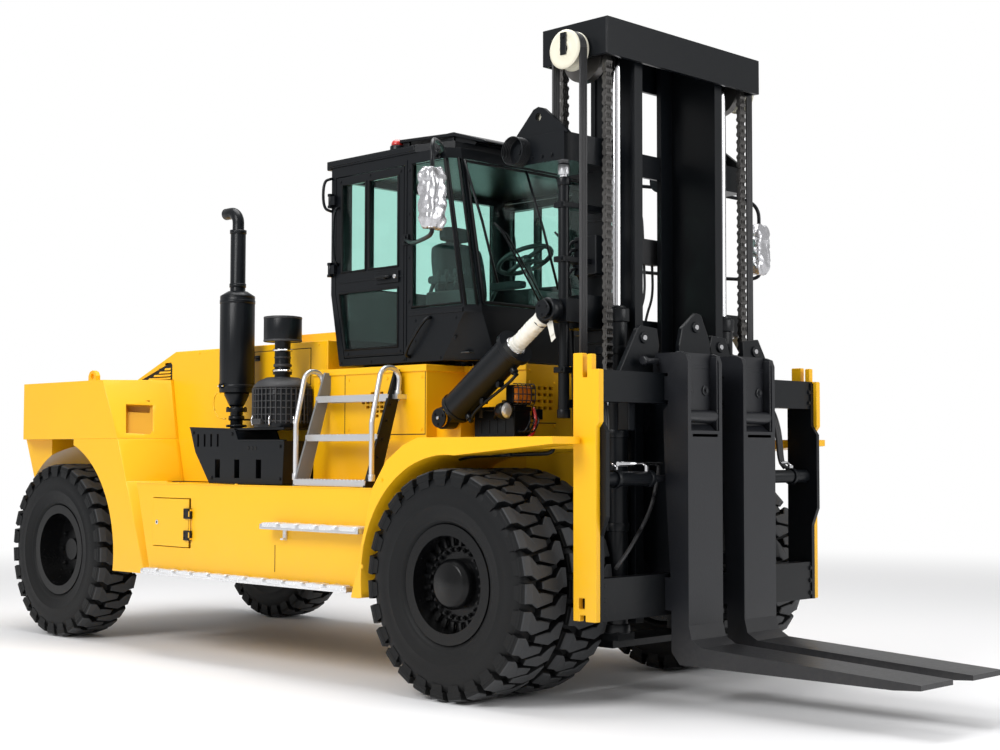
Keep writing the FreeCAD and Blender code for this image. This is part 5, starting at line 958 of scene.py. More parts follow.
shape = bmesh.new()
for sign in (1, -1):
    addWrap(shape, mirrorSpec["low"], mirrorSpec["high"], sign)
foil = toMesh("mirrorWraps", shape, "foil", "chassis")
shape = bmesh.new()
addTube(shape, [(0.48, 0.862, 2.868), (0.75, 1.05, 2.8), (1.4, 1.54, 2.725), (1.54, 1.614, 2.73),
    (1.54, 1.614, 2.8)], mirrorSpec["arm"], sides=12)
addTube(shape, [(0.78, 0.862, 3.4), (0.95, 0.96, 3.4), (1.45, 1.52, 3.32), (1.54, 1.614, 3.25),
    (1.54, 1.614, 3.08)], mirrorSpec["arm"], sides=12)
for x, z in ((0.475, 2.87), (0.78, 3.4)):
    addBox(shape, (x - 0.027, 0.85, z - 0.035), (x + 0.027, 0.866, z + 0.035), bevel=0.004)
    addRod(shape, (x, 0.866, z), (x, 0.886, z), 0.02, sides=20, bevel=0.003)
    for lift in (-0.024, 0.024):
        addBolt(shape, (x, 0.866, z + lift), (0, 1, 0), 0.006, 0.005)
bothSides(shape)
toMesh("mirrorArms", shape, "blackPaint")
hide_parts("wing_mirrors")
print("mirrors made")

# tilt cylinders: glands, end caps, oil pipes and the wrapped rods
tiltSpec = {"wrapRings": 22, "wrapRadius": 0.049, "wrapBulge": 0.003, "creaseScale": 30.0, "crease": 0.0035,
    "base": (0.94, 0.92, 1.687), "eye": (1.83, 0.92, 2.32), "barrel": 0.1, "rod": 0.0548, "wrapStart": 0.765,
    "wrapEnd": 1.0}
wrapStart, wrapEnd = (tiltSpec["wrapStart"], tiltSpec["wrapEnd"])
tiltBase, tiltEye = (Vector(tiltSpec["base"]), Vector(tiltSpec["eye"]))
tiltWay = (tiltEye - tiltBase).normalized()
tiltDown = Vector((tiltWay.z, 0, -tiltWay.x))


def tiltSpot(along, down=0.0, out=0.0):
    return tiltBase + tiltWay * along + tiltDown * down + Vector((0, out, 0))


def mirrorPiece(shape, sign):
    # turns a left-hand bmesh into the right-hand one
    if sign < 0:
        bmesh.ops.scale(shape, verts=shape.verts[:], vec=(1, -1, 1))
        bmesh.ops.reverse_faces(shape, faces=shape.faces[:])


for side, sign in (("left", 1), ("right", -1)):
    shape = bmesh.new()
    barrel = tiltSpec["barrel"]
    addRod(shape, tiltSpot(0.092), tiltSpot(0.12), barrel + 0.007, sides=40, bevel=0.004)
    addRod(shape, tiltSpot(0.69), tiltSpot(0.706), barrel + 0.006, sides=40, bevel=0.004)
    addSpin(shape, [(0.0562, 0.728), (0.066, 0.738), (0.066, 0.741), (0.064, 0.743), (0.0562, 0.743)], tiltBase,
        tiltWay, steps=40, paint=1)
    for step in range(10):
        turned = math.tau * (step + 0.5) / 10
        spot = tiltSpot(0.72, math.cos(turned) * barrel, math.sin(turned) * barrel)
        addBolt(shape, spot, spot - tiltSpot(0.72), 0.008, 0.005)
    for along in (0.165, 0.64):
        addRod(shape, tiltSpot(along, barrel - 0.01), tiltSpot(along, barrel + 0.03), 0.024, sides=24, bevel=0.004)
        addRod(shape, tiltSpot(along, barrel + 0.022), tiltSpot(along, barrel + 0.05), 0.017, sides=6, bevel=0.002)
    addTube(shape, [tiltSpot(0.64, barrel + 0.045), tiltSpot(0.56, barrel + 0.05),
        tiltSpot(0.24, barrel + 0.02, 0.02), tiltSpot(0.165, barrel + 0.045)], 0.01, sides=10)
    for along in (0.33, 0.5):
        addBox(shape, tiltSpot(along, barrel + 0.012) - Vector((0.014, 0.02, 0.018)),
            tiltSpot(along, barrel + 0.012) + Vector((0.014, 0.03, 0.018)), bevel=0.004)
    addRod(shape, tiltSpot(0.0, 0, 0.046), tiltSpot(0.0, 0, 0.05), 0.066, sides=32, bevel=0.001)
    mirrorPiece(shape, sign)
    toMesh("tiltGland" + side.title(), shape, ("blackPaint", "chrome"), f"tilt_barrel_{side}_body")
    shape = bmesh.new()
    profile = [(0.0, 0.41), (tiltSpec["rod"], 0.41), (tiltSpec["rod"], wrapStart - 0.004)]
    count = tiltSpec["wrapRings"]
    for step in range(count + 1):
        along = wrapStart + (wrapEnd - wrapStart) * step / count
        profile.append((tiltSpec["wrapRadius"] + tiltSpec["wrapBulge"] * (step * 7 % 5) / 4, along))
    profile += [(0.05, wrapEnd + 0.01), (0.0, wrapEnd + 0.01)]
    grown = addSpin(shape, profile, tiltBase, tiltWay, steps=48, closed=False, smooth=False)
    for vert in {vert for face in grown for vert in face.verts}:
        along = (vert.co - tiltBase).dot(tiltWay)
        middle = tiltBase + tiltWay * along
        if wrapStart < along < wrapEnd:
            crease = noise.noise(vert.co * tiltSpec["creaseScale"])
            vert.co += (vert.co - middle).normalized() * (crease * tiltSpec["crease"])
    for start, reach in ((1.022, 0.14), (1.032, 0.105)):
        flap = addBox(shape, (0, 0, 0), (0.04, 0.0022, reach))
        for vert in flap:
            turned = vert.co.z / reach
            vert.co = tiltSpot(start + vert.co.x - 0.02 * turned, 0.052 + vert.co.z * 0.9,
                vert.co.y + 0.028 * math.sin(turned * 2.2))
    mirrorPiece(shape, sign)
    wrapped = toMesh("tiltRodWrap" + side.title(), shape, "filmWrap", f"tilt_rod_{side}_body")
    shape = bmesh.new()
    ringProfile = [(0.0475, -0.043), (0.062, -0.044), (0.07, -0.036), (0.07, 0.036), (0.062, 0.044),
        (0.0475, 0.043)]
    addSpin(shape, ringProfile, tiltEye, (0, 1, 0), steps=44)
    addRod(shape, tiltSpot(0.975), tiltSpot(1.04), 0.05, 0.042, sides=32, bevel=0.003)
    addBolt(shape, tiltEye - tiltDown * 0.07, -tiltDown, 0.006, 0.012)
    mirrorPiece(shape, sign)
    toMesh("tiltRodEye" + side.title(), shape, "blackPaint", f"tilt_rod_{side}_body")
    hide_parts(f"tilt_rod_{side}")
shape = bmesh.new()
addRod(shape, (0.94, 0.984, 1.687), (0.94, 0.998, 1.687), 0.062, sides=40, bevel=0.004)
for turned in (0.4, 2.5, 4.6):
    addBolt(shape, (0.94 + math.cos(turned) * 0.04, 0.998, 1.687 + math.sin(turned) * 0.04), (0, 1, 0), 0.008,
        0.007)
addRod(shape, (0.94, 0.998, 1.687), (0.94, 1.006, 1.687), 0.01, sides=12, paint=1)
bothSides(shape)
toMesh("tiltPinCaps", shape, ("blackPaint", "chrome"))
shape = bmesh.new()
addRod(shape, (1.83, 0.988, 2.32), (1.83, 0.998, 2.32), 0.054, sides=36, bevel=0.003)
for turned in (0.4, 2.5, 4.6):
    addBolt(shape, (1.83 + math.cos(turned) * 0.034, 0.998, 2.32 + math.sin(turned) * 0.034), (0, 1, 0), 0.007,
        0.006)
bothSides(shape)
toMesh("rodPinCaps", shape, "blackPaint", "mast_outer")
print("tilt cylinders dressed")

# head lamps, indicators behind wire guards, and the relay boxes
lampSpec = {"lensY": 0.862, "lensZ": 1.728, "front": 1.41, "signal": ((0.64, 1.772), (0.8, 1.89)), "wire": 0.0035}
shape = bmesh.new()
front = lampSpec["front"]
lensSpot = (lampSpec["lensY"], lampSpec["lensZ"])
addSpin(shape, [(0.0, -0.085), (0.028, -0.084), (0.046, -0.06), (0.055, -0.02), (0.055, 0.0), (0.051, 0.003),
    (0.049, -0.006)], (front, *lensSpot), (1, 0, 0), steps=40, closed=False)
addSpin(shape, [(0.0, 0.012), (0.03, 0.01), (0.05, 0.0), (0.05, -0.01), (0.0, -0.01)], (front, *lensSpot),
    (1, 0, 0), steps=40, closed=False, paint=1)
(lowY, lowZ), (highY, highZ) = lampSpec["signal"]
addBox(shape, (front - 0.01, lowY + 0.008, lowZ + 0.008), (front + 0.012, highY - 0.008, highZ - 0.008),
    bevel=0.006, paint=2)
for step in range(7):
    y = lowY + 0.018 + step * 0.0195
    addBox(shape, (front + 0.008, y, lowZ + 0.012), (front + 0.016, y + 0.012, highZ - 0.012), bevel=0.003, paint=2)
for step in range(5):
    y = lowY + 0.005 + step * (highY - lowY - 0.01) / 4
    addTube(shape, [(front - 0.01, y, lowZ - 0.006), (front + 0.038, y, lowZ - 0.006),
        (front + 0.038, y, highZ + 0.006), (front - 0.01, y, highZ + 0.006)], lampSpec["wire"], sides=8, paint=3)
for z in (lowZ + 0.02, (lowZ + highZ) / 2, highZ - 0.02):
    addTube(shape, [(front, lowY - 0.004, z), (front + 0.038, lowY - 0.004, z), (front + 0.038, highY + 0.004, z),
        (front, highY + 0.004, z)], lampSpec["wire"], sides=8, paint=3)
addTube(shape, [(front - 0.08, 0.862, 1.715), (front - 0.12, 0.85, 1.69), (front - 0.14, 0.812, 1.68)], 0.008,
    sides=8)
relayLow, relayHigh = ((1.06, 0.648, 1.562), (1.41, 0.798, 1.735))
for cornerA, cornerB, bevel in (((front - 0.07, lowY, lowZ), (front - 0.005, highY, highZ), 0.006),
        ((front - 0.085, 0.611, 1.757), (front - 0.07, 0.82, 1.795), 0.003),
        ((front - 0.08, 0.8, 1.715), (front - 0.07, 0.862, 1.765), 0.003),
        ((1.335, 0.56, 1.79), (front - 0.07, 0.64, 1.872), 0.004), (relayLow, relayHigh, 0.008),
        ((1.05, 0.645, 1.728), (1.418, 0.803, 1.756), 0.006)):
    addBox(shape, cornerA, cornerB, bevel=bevel)
for x in (1.13, 1.34):
    addBox(shape, (x - 0.014, 0.8, 1.69), (x + 0.014, 0.812, 1.745), bevel=0.003, paint=3)
for x in (1.1, 1.17, 1.24, 1.31):
    addBox(shape, (x, 0.797, 1.59), (x + 0.03, 0.802, 1.672), bevel=0.002)
for y in (0.68, 0.72, 0.76):
    addRod(shape, (1.408, y, 1.6), (1.432, y, 1.6), 0.011, sides=16, bevel=0.002)
    addTube(shape, [(1.43, y, 1.6), (1.47, y, 1.6), (1.48, y - 0.02, 1.64), (1.44, y - 0.08, 1.69),
        (1.345, 0.6, 1.7)], 0.006, sides=8)
addTube(shape, [(1.425, 0.64, 1.75), (1.45, 0.64, 1.68), (1.45, 0.66, 1.59), (1.44, 0.7, 1.566)], 0.01, sides=10,
    paint=4)
bothSides(shape)
lampSet = toMesh("lampSets", shape, ("blackPaint", "lampLens", "amber", "plastic", "redLens"))
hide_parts("headlamps")
print("lamps made")

# carriage: chain lugs, oil pipes, hoses and bolts
carriageSpec = {"lugX": 2.214, "lugThick": 0.032, "pipe": 0.013, "hose": 0.012}
lugX, hoseThick = (carriageSpec["lugX"], carriageSpec["hose"])
shape = bmesh.new()
for outline in (((-0.78, 1.87), (-0.78, 1.94), (-0.618, 2.2), (-0.585, 2.225), (-0.43, 2.212), (-0.41, 2.11),
        (-0.45, 1.94), (-0.45, 1.87)), ((-0.217, 1.87), (-0.217, 2.124), (-0.187, 2.229), (-0.048, 2.33),
        (0.0, 2.32), (0.083, 2.17), (0.12, 2.05), (0.12, 1.87)),
        ((0.16, 1.87), (0.08, 2.12), (0.11, 2.2), (0.25, 2.19), (0.3, 2.08), (0.33, 1.87)),
        ((0.45, 1.87), (0.45, 1.94), (0.43, 2.18), (0.6, 2.2), (0.78, 1.94), (0.78, 1.87))):
    addPlate(shape, [(lugX, y, z) for y, z in outline], (carriageSpec["lugThick"], 0, 0), bevel=0.005)
for y, z in ((-0.56, 2.15), (-0.06, 2.24), (0.19, 2.13), (0.56, 2.12)):
    addRod(shape, (lugX - 0.012, y, z), (lugX + 0.044, y, z), 0.034, sides=32, bevel=0.004)
    addRod(shape, (lugX - 0.016, y, z), (lugX + 0.048, y, z), 0.015, sides=20, paint=1)
for y in (-0.675, 0.675):
    addRod(shape, (2.065, y, 1.75), (2.065, y, 1.905), 0.013, sides=16, paint=1)
    addRod(shape, (2.065, y, 1.8), (2.065, y, 1.826), 0.024, sides=6, bevel=0.002, paint=1)
    addRod(shape, (2.065, y, 1.83), (2.065, y, 1.85), 0.028, sides=24, bevel=0.002)
    addBox(shape, (2.048, y - 0.02, 1.895), (2.082, y + 0.02, 1.93), bevel=0.004)
    addBox(shape, (2.095, y - 0.03, 1.792), (2.25, y + 0.03, 1.85), bevel=0.006)
    addBox(shape, (2.168, y - 0.03, 1.6), (2.25, y + 0.03, 1.8), bevel=0.006)
for low, high in (((2.232, -0.78, 1.405), (2.232, -0.38, 1.405)), ((2.232, 0.38, 1.405), (2.232, 0.78, 1.405))):
    addTube(shape, [low, high], carriageSpec["pipe"], paint=1, rounded=False)
for sign in (-1, 1):
    for index, y in enumerate((0.815, 0.835, 0.855)):
        addTube(shape, [(2.02, y * sign, 1.875), (2.025, y * sign, 1.815), (2.075, y * sign, 1.797),
            (2.165, y * sign, 1.79), (2.215, (y + 0.03) * sign, 1.62),
            (2.215, (y + 0.05) * sign, 1.42 - index * 0.02), (2.235, (0.9 + index * 0.03) * sign, 1.372)],
            hoseThick, sides=10, paint=2)
    addRod(shape, (2.298, 0.865 * sign, 1.32), (2.298, 0.9 * sign, 1.32), 0.055, sides=32, bevel=0.006)
    addRod(shape, (2.298, 0.56 * sign, 1.32), (2.298, 0.6 * sign, 1.32), 0.05, sides=32, bevel=0.006)
    for y in (0.6, 0.88):
        addRod(shape, (2.298, y * sign, 1.355), (2.298, y * sign, 1.392), 0.014, sides=6, bevel=0.002, paint=1)
        addTube(shape, [(2.298, y * sign, 1.385), (2.27, y * sign, 1.41), (2.235, (y - 0.04) * sign, 1.405)], 0.009,
            sides=10, paint=1)
    addTube(shape, [(2.232, 0.4 * sign, 1.405), (2.2, 0.38 * sign, 1.3), (2.19, 0.43 * sign, 1.12),
        (2.2, 0.64 * sign, 0.9), (2.215, 0.78 * sign, 0.8)], hoseThick, sides=10, paint=2)
    addBox(shape, (2.252, 0.3 * sign - 0.016, 0.755), (2.3, 0.3 * sign + 0.016, 1.765), bevel=0.005)
    for z in (0.56, 0.64, 0.72, 1.8, 1.87):
        addBolt(shape, (2.342, 1.03 * sign, z), (1, 0, 0), 0.012, 0.009)
toMesh("carriageFittings", shape, ("blackPaint", "chrome", "plastic"), "carriage_body")
for side, sign, inner, body in (("Left", 1, 0.055, "fork_left_body"), ("Right", -1, 0.16, "fork_right_body")):
    shape = bmesh.new()
    near, far = (inner, inner + 0.33)
    middle = (near + far) / 2
    for y in (near + 0.03, far - 0.03):
        addBox(shape, (2.458, y - 0.01, 1.6), (2.512, y + 0.01, 2.04), bevel=0.004)
    addPlate(shape, [(2.46, near + 0.04, 1.64), (2.52, near + 0.04, 1.585), (2.52, near + 0.04, 1.56),
        (2.458, near + 0.04, 1.56)], (0, 0.25, 0), bevel=0.004)
    addBox(shape, (2.39, near + 0.02, 1.968), (2.462, far - 0.02, 1.99), bevel=0.004)
    for y in (near + 0.09, far - 0.09):
        addRod(shape, (2.455, y, 1.84), (2.47, y, 1.84), 0.03, sides=28, bevel=0.004)
        addBolt(shape, (2.47, y, 1.84), (1, 0, 0), 0.014, 0.01)
    addRod(shape, (2.3, far, 2.01), (2.3, far + 0.125, 2.01), 0.018, sides=20, bevel=0.003)
    addRod(shape, (2.3, far + 0.118, 2.01), (2.3, far + 0.146, 2.01), 0.027, sides=24, bevel=0.006)
    addRod(shape, (2.33, middle, 2.055), (2.33, middle, 2.078), 0.026, sides=28, bevel=0.005)
    addBox(shape, (2.32, near + 0.01, 0.79), (2.392, near + 0.05, 0.86), bevel=0.006)
    for z in (1.29, 1.35):
        addBolt(shape, (2.31, near - 0.001, z), (0, -1, 0), 0.012, 0.01)
    mirrorPiece(shape, sign)
    toMesh("forkHead" + side, shape, "forkSteel", body)
print("carriage dressed")

# body seams, hatches, louvres and the tank's door fittings
bodySpec = {"hatch": ((-1.195, 1.95), (-0.548, 2.2)), "hoodSide": 0.83, "deckSide": 0.95,
    "pocket": ((-2.415, 1.153, 1.849), (-2.279, 0.99, 1.85), (-2.203, 1.037, 1.618), (-2.338, 1.199, 1.617))}


def cutPockets():
    # the counterweight with a shallow pocket sunk into each flank, the cut faces painted a darker yellow as painted
    # shade in the recess
    cutter = bmesh.new()
    spots = [Vector(corner) for corner in bodySpec["pocket"]]
    inward = (spots[1] - spots[0]).cross(spots[2] - spots[1]).normalized()
    if inward.y > 0:
        inward.negate()
    middle = sum(spots, Vector()) / len(spots)
    addPlate(cutter, [spot - inward * 0.06 for spot in spots], inward * 0.12)
    for vert in cutter.verts:
        if (vert.co - middle).dot(inward) > 0:
            vert.co += (middle - vert.co) * 0.08
    addBox(cutter, (-4.05, 0.79, 1.69), (-3.98, 1.01, 1.8))
    bothSides(cutter)
    addBox(cutter, (-4.05, -0.33, 1.64), (-3.96, 0.33, 1.905))
    # the cutter's darker yellow finish passes to the pocket walls and floors: painted shade in the recesses
    tool = toMesh("pocketTool", cutter, "yellowShade", None)
    cast = bpy.data.objects.new("counterweightCast", nodes["counterweight"].data.copy())
    scene.collection.objects.link(cast)
    joinPanels(cast)
    sink = cast.modifiers.new("sinkPockets", "BOOLEAN")
    sink.object = tool
    sink.operation = "DIFFERENCE"
    sink.solver = "EXACT"
    sink.material_mode = "TRANSFER"
    view = bpy.context.evaluated_depsgraph_get()
    carved = bpy.data.meshes.new_from_object(cast.evaluated_get(view))
    cast.modifiers.clear()
    cast.data = carved
    bpy.data.objects.remove(tool)
    softenEdges(cast, edgeWidths["counterweight"])
    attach(cast, "chassis")
    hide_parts("counterweight")


cutPockets()
shape = bmesh.new()
face = bodySpec["hoodSide"]
(lowX, lowZ), (highX, highZ) = bodySpec["hatch"]
addBox(shape, (lowX, face - 0.004, lowZ), (highX, face + 0.004, highZ), bevel=0.003)
addBox(shape, (lowX - 0.006, face - 0.004, lowZ - 0.006), (highX + 0.006, face + 0.0015, highZ + 0.006), paint=1)
# the near-black sheet behind the hood louvres is painted shade in the vent
addPlate(shape, [(x, face - 0.002, z) for x, z in ((-2.69, 2.045), (-2.285, 2.168), (-2.262, 2.15),
    (-2.262, 2.035))], (0, 0.005, 0), paint=1)
for rise, reach in ((0.02, 0.3), (0.044, 0.225), (0.068, 0.15), (0.092, 0.075)):
    addPlate(shape, [(-2.28 - reach, face + 0.002, 2.03 + rise), (-2.275, face + 0.002, 2.03 + rise),
        (-2.275, face + 0.01, 2.018 + rise), (-2.28 - reach, face + 0.01, 2.018 + rise)], (0, 0, 0.006),
        bevel=0.001, paint=0)
addBox(shape, (-1.185, face, 2.135), (-1.13, face + 0.01, 2.175), bevel=0.003, paint=2)
addTube(shape, [(-1.175, face + 0.008, 2.155), (-1.175, face + 0.024, 2.155), (-1.14, face + 0.024, 2.155),
    (-1.14, face + 0.008, 2.155)], 0.005, sides=8, paint=2)
for x in (-1.02, -0.72):
    addBox(shape, (x - 0.03, face, 1.932), (x + 0.03, face + 0.009, 1.956), bevel=0.003)
    addRod(shape, (x - 0.03, face + 0.006, 1.944), (x + 0.03, face + 0.006, 1.944), 0.009, sides=14)
for x in (-1.9, -1.3, -0.46):
    addBolt(shape, (x, face, 2.228), (0, 1, 0), 0.008, 0.005)
deck = bodySpec["deckSide"]
for x, z in ((0.01, 1.955), (0.4, 1.955), (0.735, 1.955), (0.01, 1.62), (0.4, 1.62), (0.735, 1.62), (-0.3, 1.95),
        (-0.3, 1.64)):
    addBolt(shape, (x, deck, z), (0, 1, 0), 0.009, 0.006)
for y, z in ((0.345, 1.915), (0.575, 1.915), (0.345, 1.64), (0.575, 1.64), (0.345, 1.99), (0.575, 1.99)):
    addBolt(shape, (1.335, y, z), (1, 0, 0), 0.009, 0.006)
for x in (-1.6, -0.9, -0.1, 0.4):
    addBolt(shape, (x, 1.2, 1.243), (0, 0, 1), 0.012, 0.008)
addTube(shape, [(1.2, 1.06, 1.43), (1.3, 1.05, 1.452), (1.86, 1.03, 1.462), (1.925, 1.01, 1.47),
    (1.925, 0.99, 1.515)], 0.013, sides=10, paint=2)
for x in (1.36, 1.62):
    addBox(shape, (x - 0.014, 1.02, 1.445), (x + 0.014, 1.064, 1.482), bevel=0.003, paint=2)
for x, z in ((0.64, 0.76), (0.82, 1.3)):
    addBolt(shape, (x, 1.36, z), (0, 1, 0), 0.01, 0.007)
for cornerA, cornerB, bevel, paint in (((-0.36, deck - 0.004, 1.99), (0.784, deck + 0.014, 2.034), 0.005, 0),
        ((0.776, 0.606, 1.99), (0.79, deck + 0.014, 2.034), 0.004, 0),
        ((0.776, 0.6, 1.99), (1.342, 0.622, 2.034), 0.005, 0),
        ((-0.03, deck - 0.003, 1.59), (-0.024, deck + 0.0012, 1.988), 0, 1),
        ((-0.03, deck - 0.003, 1.584), (0.772, deck + 0.0012, 1.59), 0, 1),
        ((0.766, deck - 0.003, 1.59), (0.772, deck + 0.0012, 1.988), 0, 1),
        ((1.3335, 0.335, 1.655), (1.3365, 0.59, 1.661), 0, 1),
        ((1.335, 0.47, 1.68), (1.348, 0.56, 1.745), 0.003, 2),
        ((-2.035, 1.2785, 1.2395), (0.64, 1.286, 1.2465), 0.0015, 0),
        ((-0.353, 1.2785, 0.67), (-0.347, 1.2815, 0.85), 0, 1),
        ((-3.99, 0.06, 1.5), (-3.96, 0.5, 1.574), 0.004, 0)):
    addBox(shape, cornerA, cornerB, bevel=bevel, paint=paint)
for y in (0.2, 0.5, 0.8, 1.04):
    addBolt(shape, (-4.002, y, 1.95), (-1, 0, 0), 0.012, 0.006)
bothSides(shape)
# the near-black sheet behind the rear louvres is painted shade in the grille
addBox(shape, (-3.975, -0.32, 1.65), (-3.955, 0.32, 1.895), paint=1)
for level in range(8):
    addPlate(shape, [(-4.002, -0.326, 1.652 + level * 0.03), (-3.966, -0.326, 1.668 + level * 0.03),
        (-3.966, -0.326, 1.673 + level * 0.03), (-4.002, -0.326, 1.657 + level * 0.03)], (0, 0.652, 0), bevel=0.001,
        paint=2)
addRod(shape, (-3.96, 0, 1.32), (-3.8, 0, 1.32), 0.045, sides=28, bevel=0.006, paint=2)
toMesh("bodySeams", shape, ("yellowPaint", "darkSeamsAndPaintedShade", "blackPaint", "yellowShade"), "chassis")
shape = bmesh.new()
for y in (-0.9, 0.9):
    addBox(shape, (-3.996, y - 0.106, 1.694), (-3.975, y + 0.106, 1.796), bevel=0.004, paint=0)
    addBox(shape, (-4.006, y - 0.094, 1.706), (-3.985, y - 0.004, 1.784), bevel=0.006, paint=1)
    addBox(shape, (-4.006, y + 0.004, 1.706), (-3.985, y + 0.094, 1.784), bevel=0.006, paint=2)
toMesh("tailLamps", shape, ("blackPaint", "redLens", "amber"), "chassis")
shape = bmesh.new()
for low, high in ((0.846, 0.905), (1.0, 1.062)):
    addBox(shape, (-1.398, -1.302, low - 0.006), (-1.311, -1.282, high + 0.006), bevel=0.004)
    for z in (low + 0.014, high - 0.014):
        addBolt(shape, (-1.385, -1.302, z), (0, -1, 0), 0.005, 0.004)
addRod(shape, (-1.75, -1.283, 0.96), (-1.75, -1.292, 0.96), 0.017, sides=28, bevel=0.002, paint=1)
addBox(shape, (-1.753, -1.2945, 0.952), (-1.747, -1.29, 0.968), paint=0)
toMesh("tankDoorFittings", shape, ("blackPaint", "chrome"), "tank_door_body")
print("body dressed")

# exhaust, air cleaner and their tray
stackSpec = {"x": -1.17, "y": -1.01}
shape = bmesh.new()
spot = (stackSpec["x"], stackSpec["y"], 0.0)
for profile in ([(0.048, 1.8), (0.056, 1.812), (0.088, 1.88), (0.092, 1.902), (0.045, 1.902)],
        [(0.124, 1.93), (0.1275, 1.932), (0.1275, 1.956), (0.124, 1.958)],
        [(0.124, 2.54), (0.1275, 2.542), (0.1275, 2.566), (0.124, 2.568)],
        [(0.126, 2.585), (0.124, 2.598), (0.07, 2.632), (0.052, 2.634), (0.052, 2.58)],
        [(0.054, 2.66), (0.06, 2.662), (0.06, 2.688), (0.054, 2.69)],
        [(0.054, 3.05), (0.06, 3.052), (0.06, 3.078), (0.04, 3.08), (0.04, 3.05)],
        [(0.044, 1.65), (0.074, 1.652), (0.074, 1.668), (0.044, 1.67)],
        [(0.044, 1.698), (0.056, 1.7), (0.058, 1.716), (0.056, 1.732), (0.044, 1.734)]):
    addSpin(shape, profile, spot, (0, 0, 1), steps=48)
for seat in ringSpots((spot[0], spot[1], 1.79), 0.062, 6):
    addBolt(shape, seat, (0, 0, 1), 0.008, 0.008)
addBox(shape, (spot[0] - 0.014, spot[1] - 0.15, 1.928), (spot[0] + 0.014, spot[1] - 0.118, 1.96), bevel=0.003)
addRod(shape, (spot[0] - 0.03, spot[1] - 0.14, 1.944), (spot[0] + 0.03, spot[1] - 0.14, 1.944), 0.007, sides=8,
    paint=1)
addBox(shape, (spot[0] - 0.03, -1.02, 1.7), (spot[0] + 0.03, -0.832, 1.712), bevel=0.003)
addTube(shape, [(spot[0] - 0.1, -1.08, 1.9), (spot[0] - 0.19, -1.06, 1.9), (spot[0] - 0.22, -1.06, 1.82),
    (spot[0] - 0.16, -1.07, 1.72), (spot[0] - 0.06, -1.06, 1.712)], 0.0045, sides=8, paint=2)
toMesh("exhaustFittings", shape, ("blackPaint", "chrome", "yellowPaint"))
cleanerSpec = {"x": -0.59, "y": -1.045, "radius": 0.195, "ribs": 36}
shape = bmesh.new()
middle = Vector((cleanerSpec["x"], cleanerSpec["y"], 0.0))
radius = cleanerSpec["radius"]
rib = bmesh.new()
addBox(rib, (radius - 0.006, -0.0045, 1.668), (radius + 0.014, 0.0045, 1.912), bevel=0.003)
ribTurns = [Matrix.Rotation(math.tau * index / cleanerSpec["ribs"], 4, "Z") for index in range(cleanerSpec["ribs"])]
stampAll(shape, rib, [(Matrix.Translation(middle) @ turned, False) for turned in ribTurns])
for level in (1.684, 1.73, 1.776, 1.822, 1.868, 1.906):
    addSpin(shape, [(radius - 0.004, level - 0.004), (radius + 0.011, level - 0.003),
        (radius + 0.011, level + 0.003), (radius - 0.004, level + 0.004)], middle, (0, 0, 1), steps=48)
for profile in ([(0.06, 1.99), (0.11, 1.988), (0.165, 1.962), (0.196, 1.934), (0.204, 1.916), (0.19, 1.916),
        (0.06, 1.93)], [(0.054, 2.06), (0.062, 2.062), (0.064, 2.072), (0.062, 2.082), (0.054, 2.084)],
        [(0.054, 2.12), (0.06, 2.128), (0.054, 2.136)], [(0.128, 2.236), (0.1335, 2.238), (0.134, 2.25),
        (0.128, 2.252)], [(0.0, 2.416), (0.1, 2.415), (0.128, 2.411), (0.1335, 2.404), (0.1335, 2.396),
        (0.0, 2.398)]):
    addSpin(shape, profile, middle, (0, 0, 1), steps=48)
for level in (2.026, 2.17):
    addSpin(shape, [(0.056, level), (0.0685, level + 0.001), (0.0685, level + 0.017), (0.056, level + 0.018)],
        middle, (0, 0, 1), steps=40, paint=1)
    addRod(shape, middle + Vector((0.05, -0.06, level + 0.009)), middle + Vector((0.09, -0.03, level + 0.009)),
        0.007, sides=8, paint=1)
for turned in (3.4, 4.3, 5.2, 6.0):
    side = Vector((math.cos(turned), math.sin(turned), 0))
    addTube(shape, [middle + side * 0.206 + Vector((0, 0, 1.72)), middle + side * 0.218 + Vector((0, 0, 1.69)),
        middle + side * 0.206 + Vector((0, 0, 1.655))], 0.006, sides=8, paint=1)
addBox(shape, middle + Vector((-0.05, -0.225, 1.66)), middle + Vector((0.05, -0.19, 1.7)), bevel=0.006)
addTube(shape, [middle + Vector((0, 0.1, 1.8)), middle + Vector((0, 0.18, 1.8)), middle + Vector((0, 0.214, 1.8))],
    0.055, sides=20)
toMesh("airCleanerCage", shape, ("plastic", "chrome"), "chassis")
shape = bmesh.new()
# three near-black discs stand for holes in the tray: painted shade
for x in (-0.34, -0.255, -0.17):
    addRod(shape, (-0.6 + x * 0.5, -1.1995, 1.5), (-0.6 + x * 0.5, -1.2025, 1.5), 0.014, sides=20, paint=1)
for start, end in (((-1.472, 1.643), (-0.925, 1.627)), ((-0.885, 1.549), (-0.365, 1.547))):
    addPlate(shape, [(start[0], -1.206, start[1]), (end[0], -1.206, end[1]), (end[0], -1.206, end[1] + 0.01),
        (start[0], -1.206, start[1] + 0.01)], (0, 0.03, 0), bevel=0.003)
for x, z in ((-1.43, 1.61), (-0.96, 1.6), (-0.41, 1.51), (-0.41, 1.29), (-1.2, 1.29)):
    addBolt(shape, (x, -1.2, z), (0, -1, 0), 0.011, 0.008)
toMesh("trayFittings", shape, ("blackPaint", "darkSeamsAndPaintedShade"))
print("exhaust and air cleaner dressed")

# steps and ladders: film-wrapped boards, gripped treads, stringer plates
stepSpec = {"cuts": 5, "ruffle": 0.006, "sway": 0.003, "columns": 18, "columnGap": 0.0385, "pitch": 0.205,
    "pad": 0.186, "lift": 0.017, "grip": 0.0055}


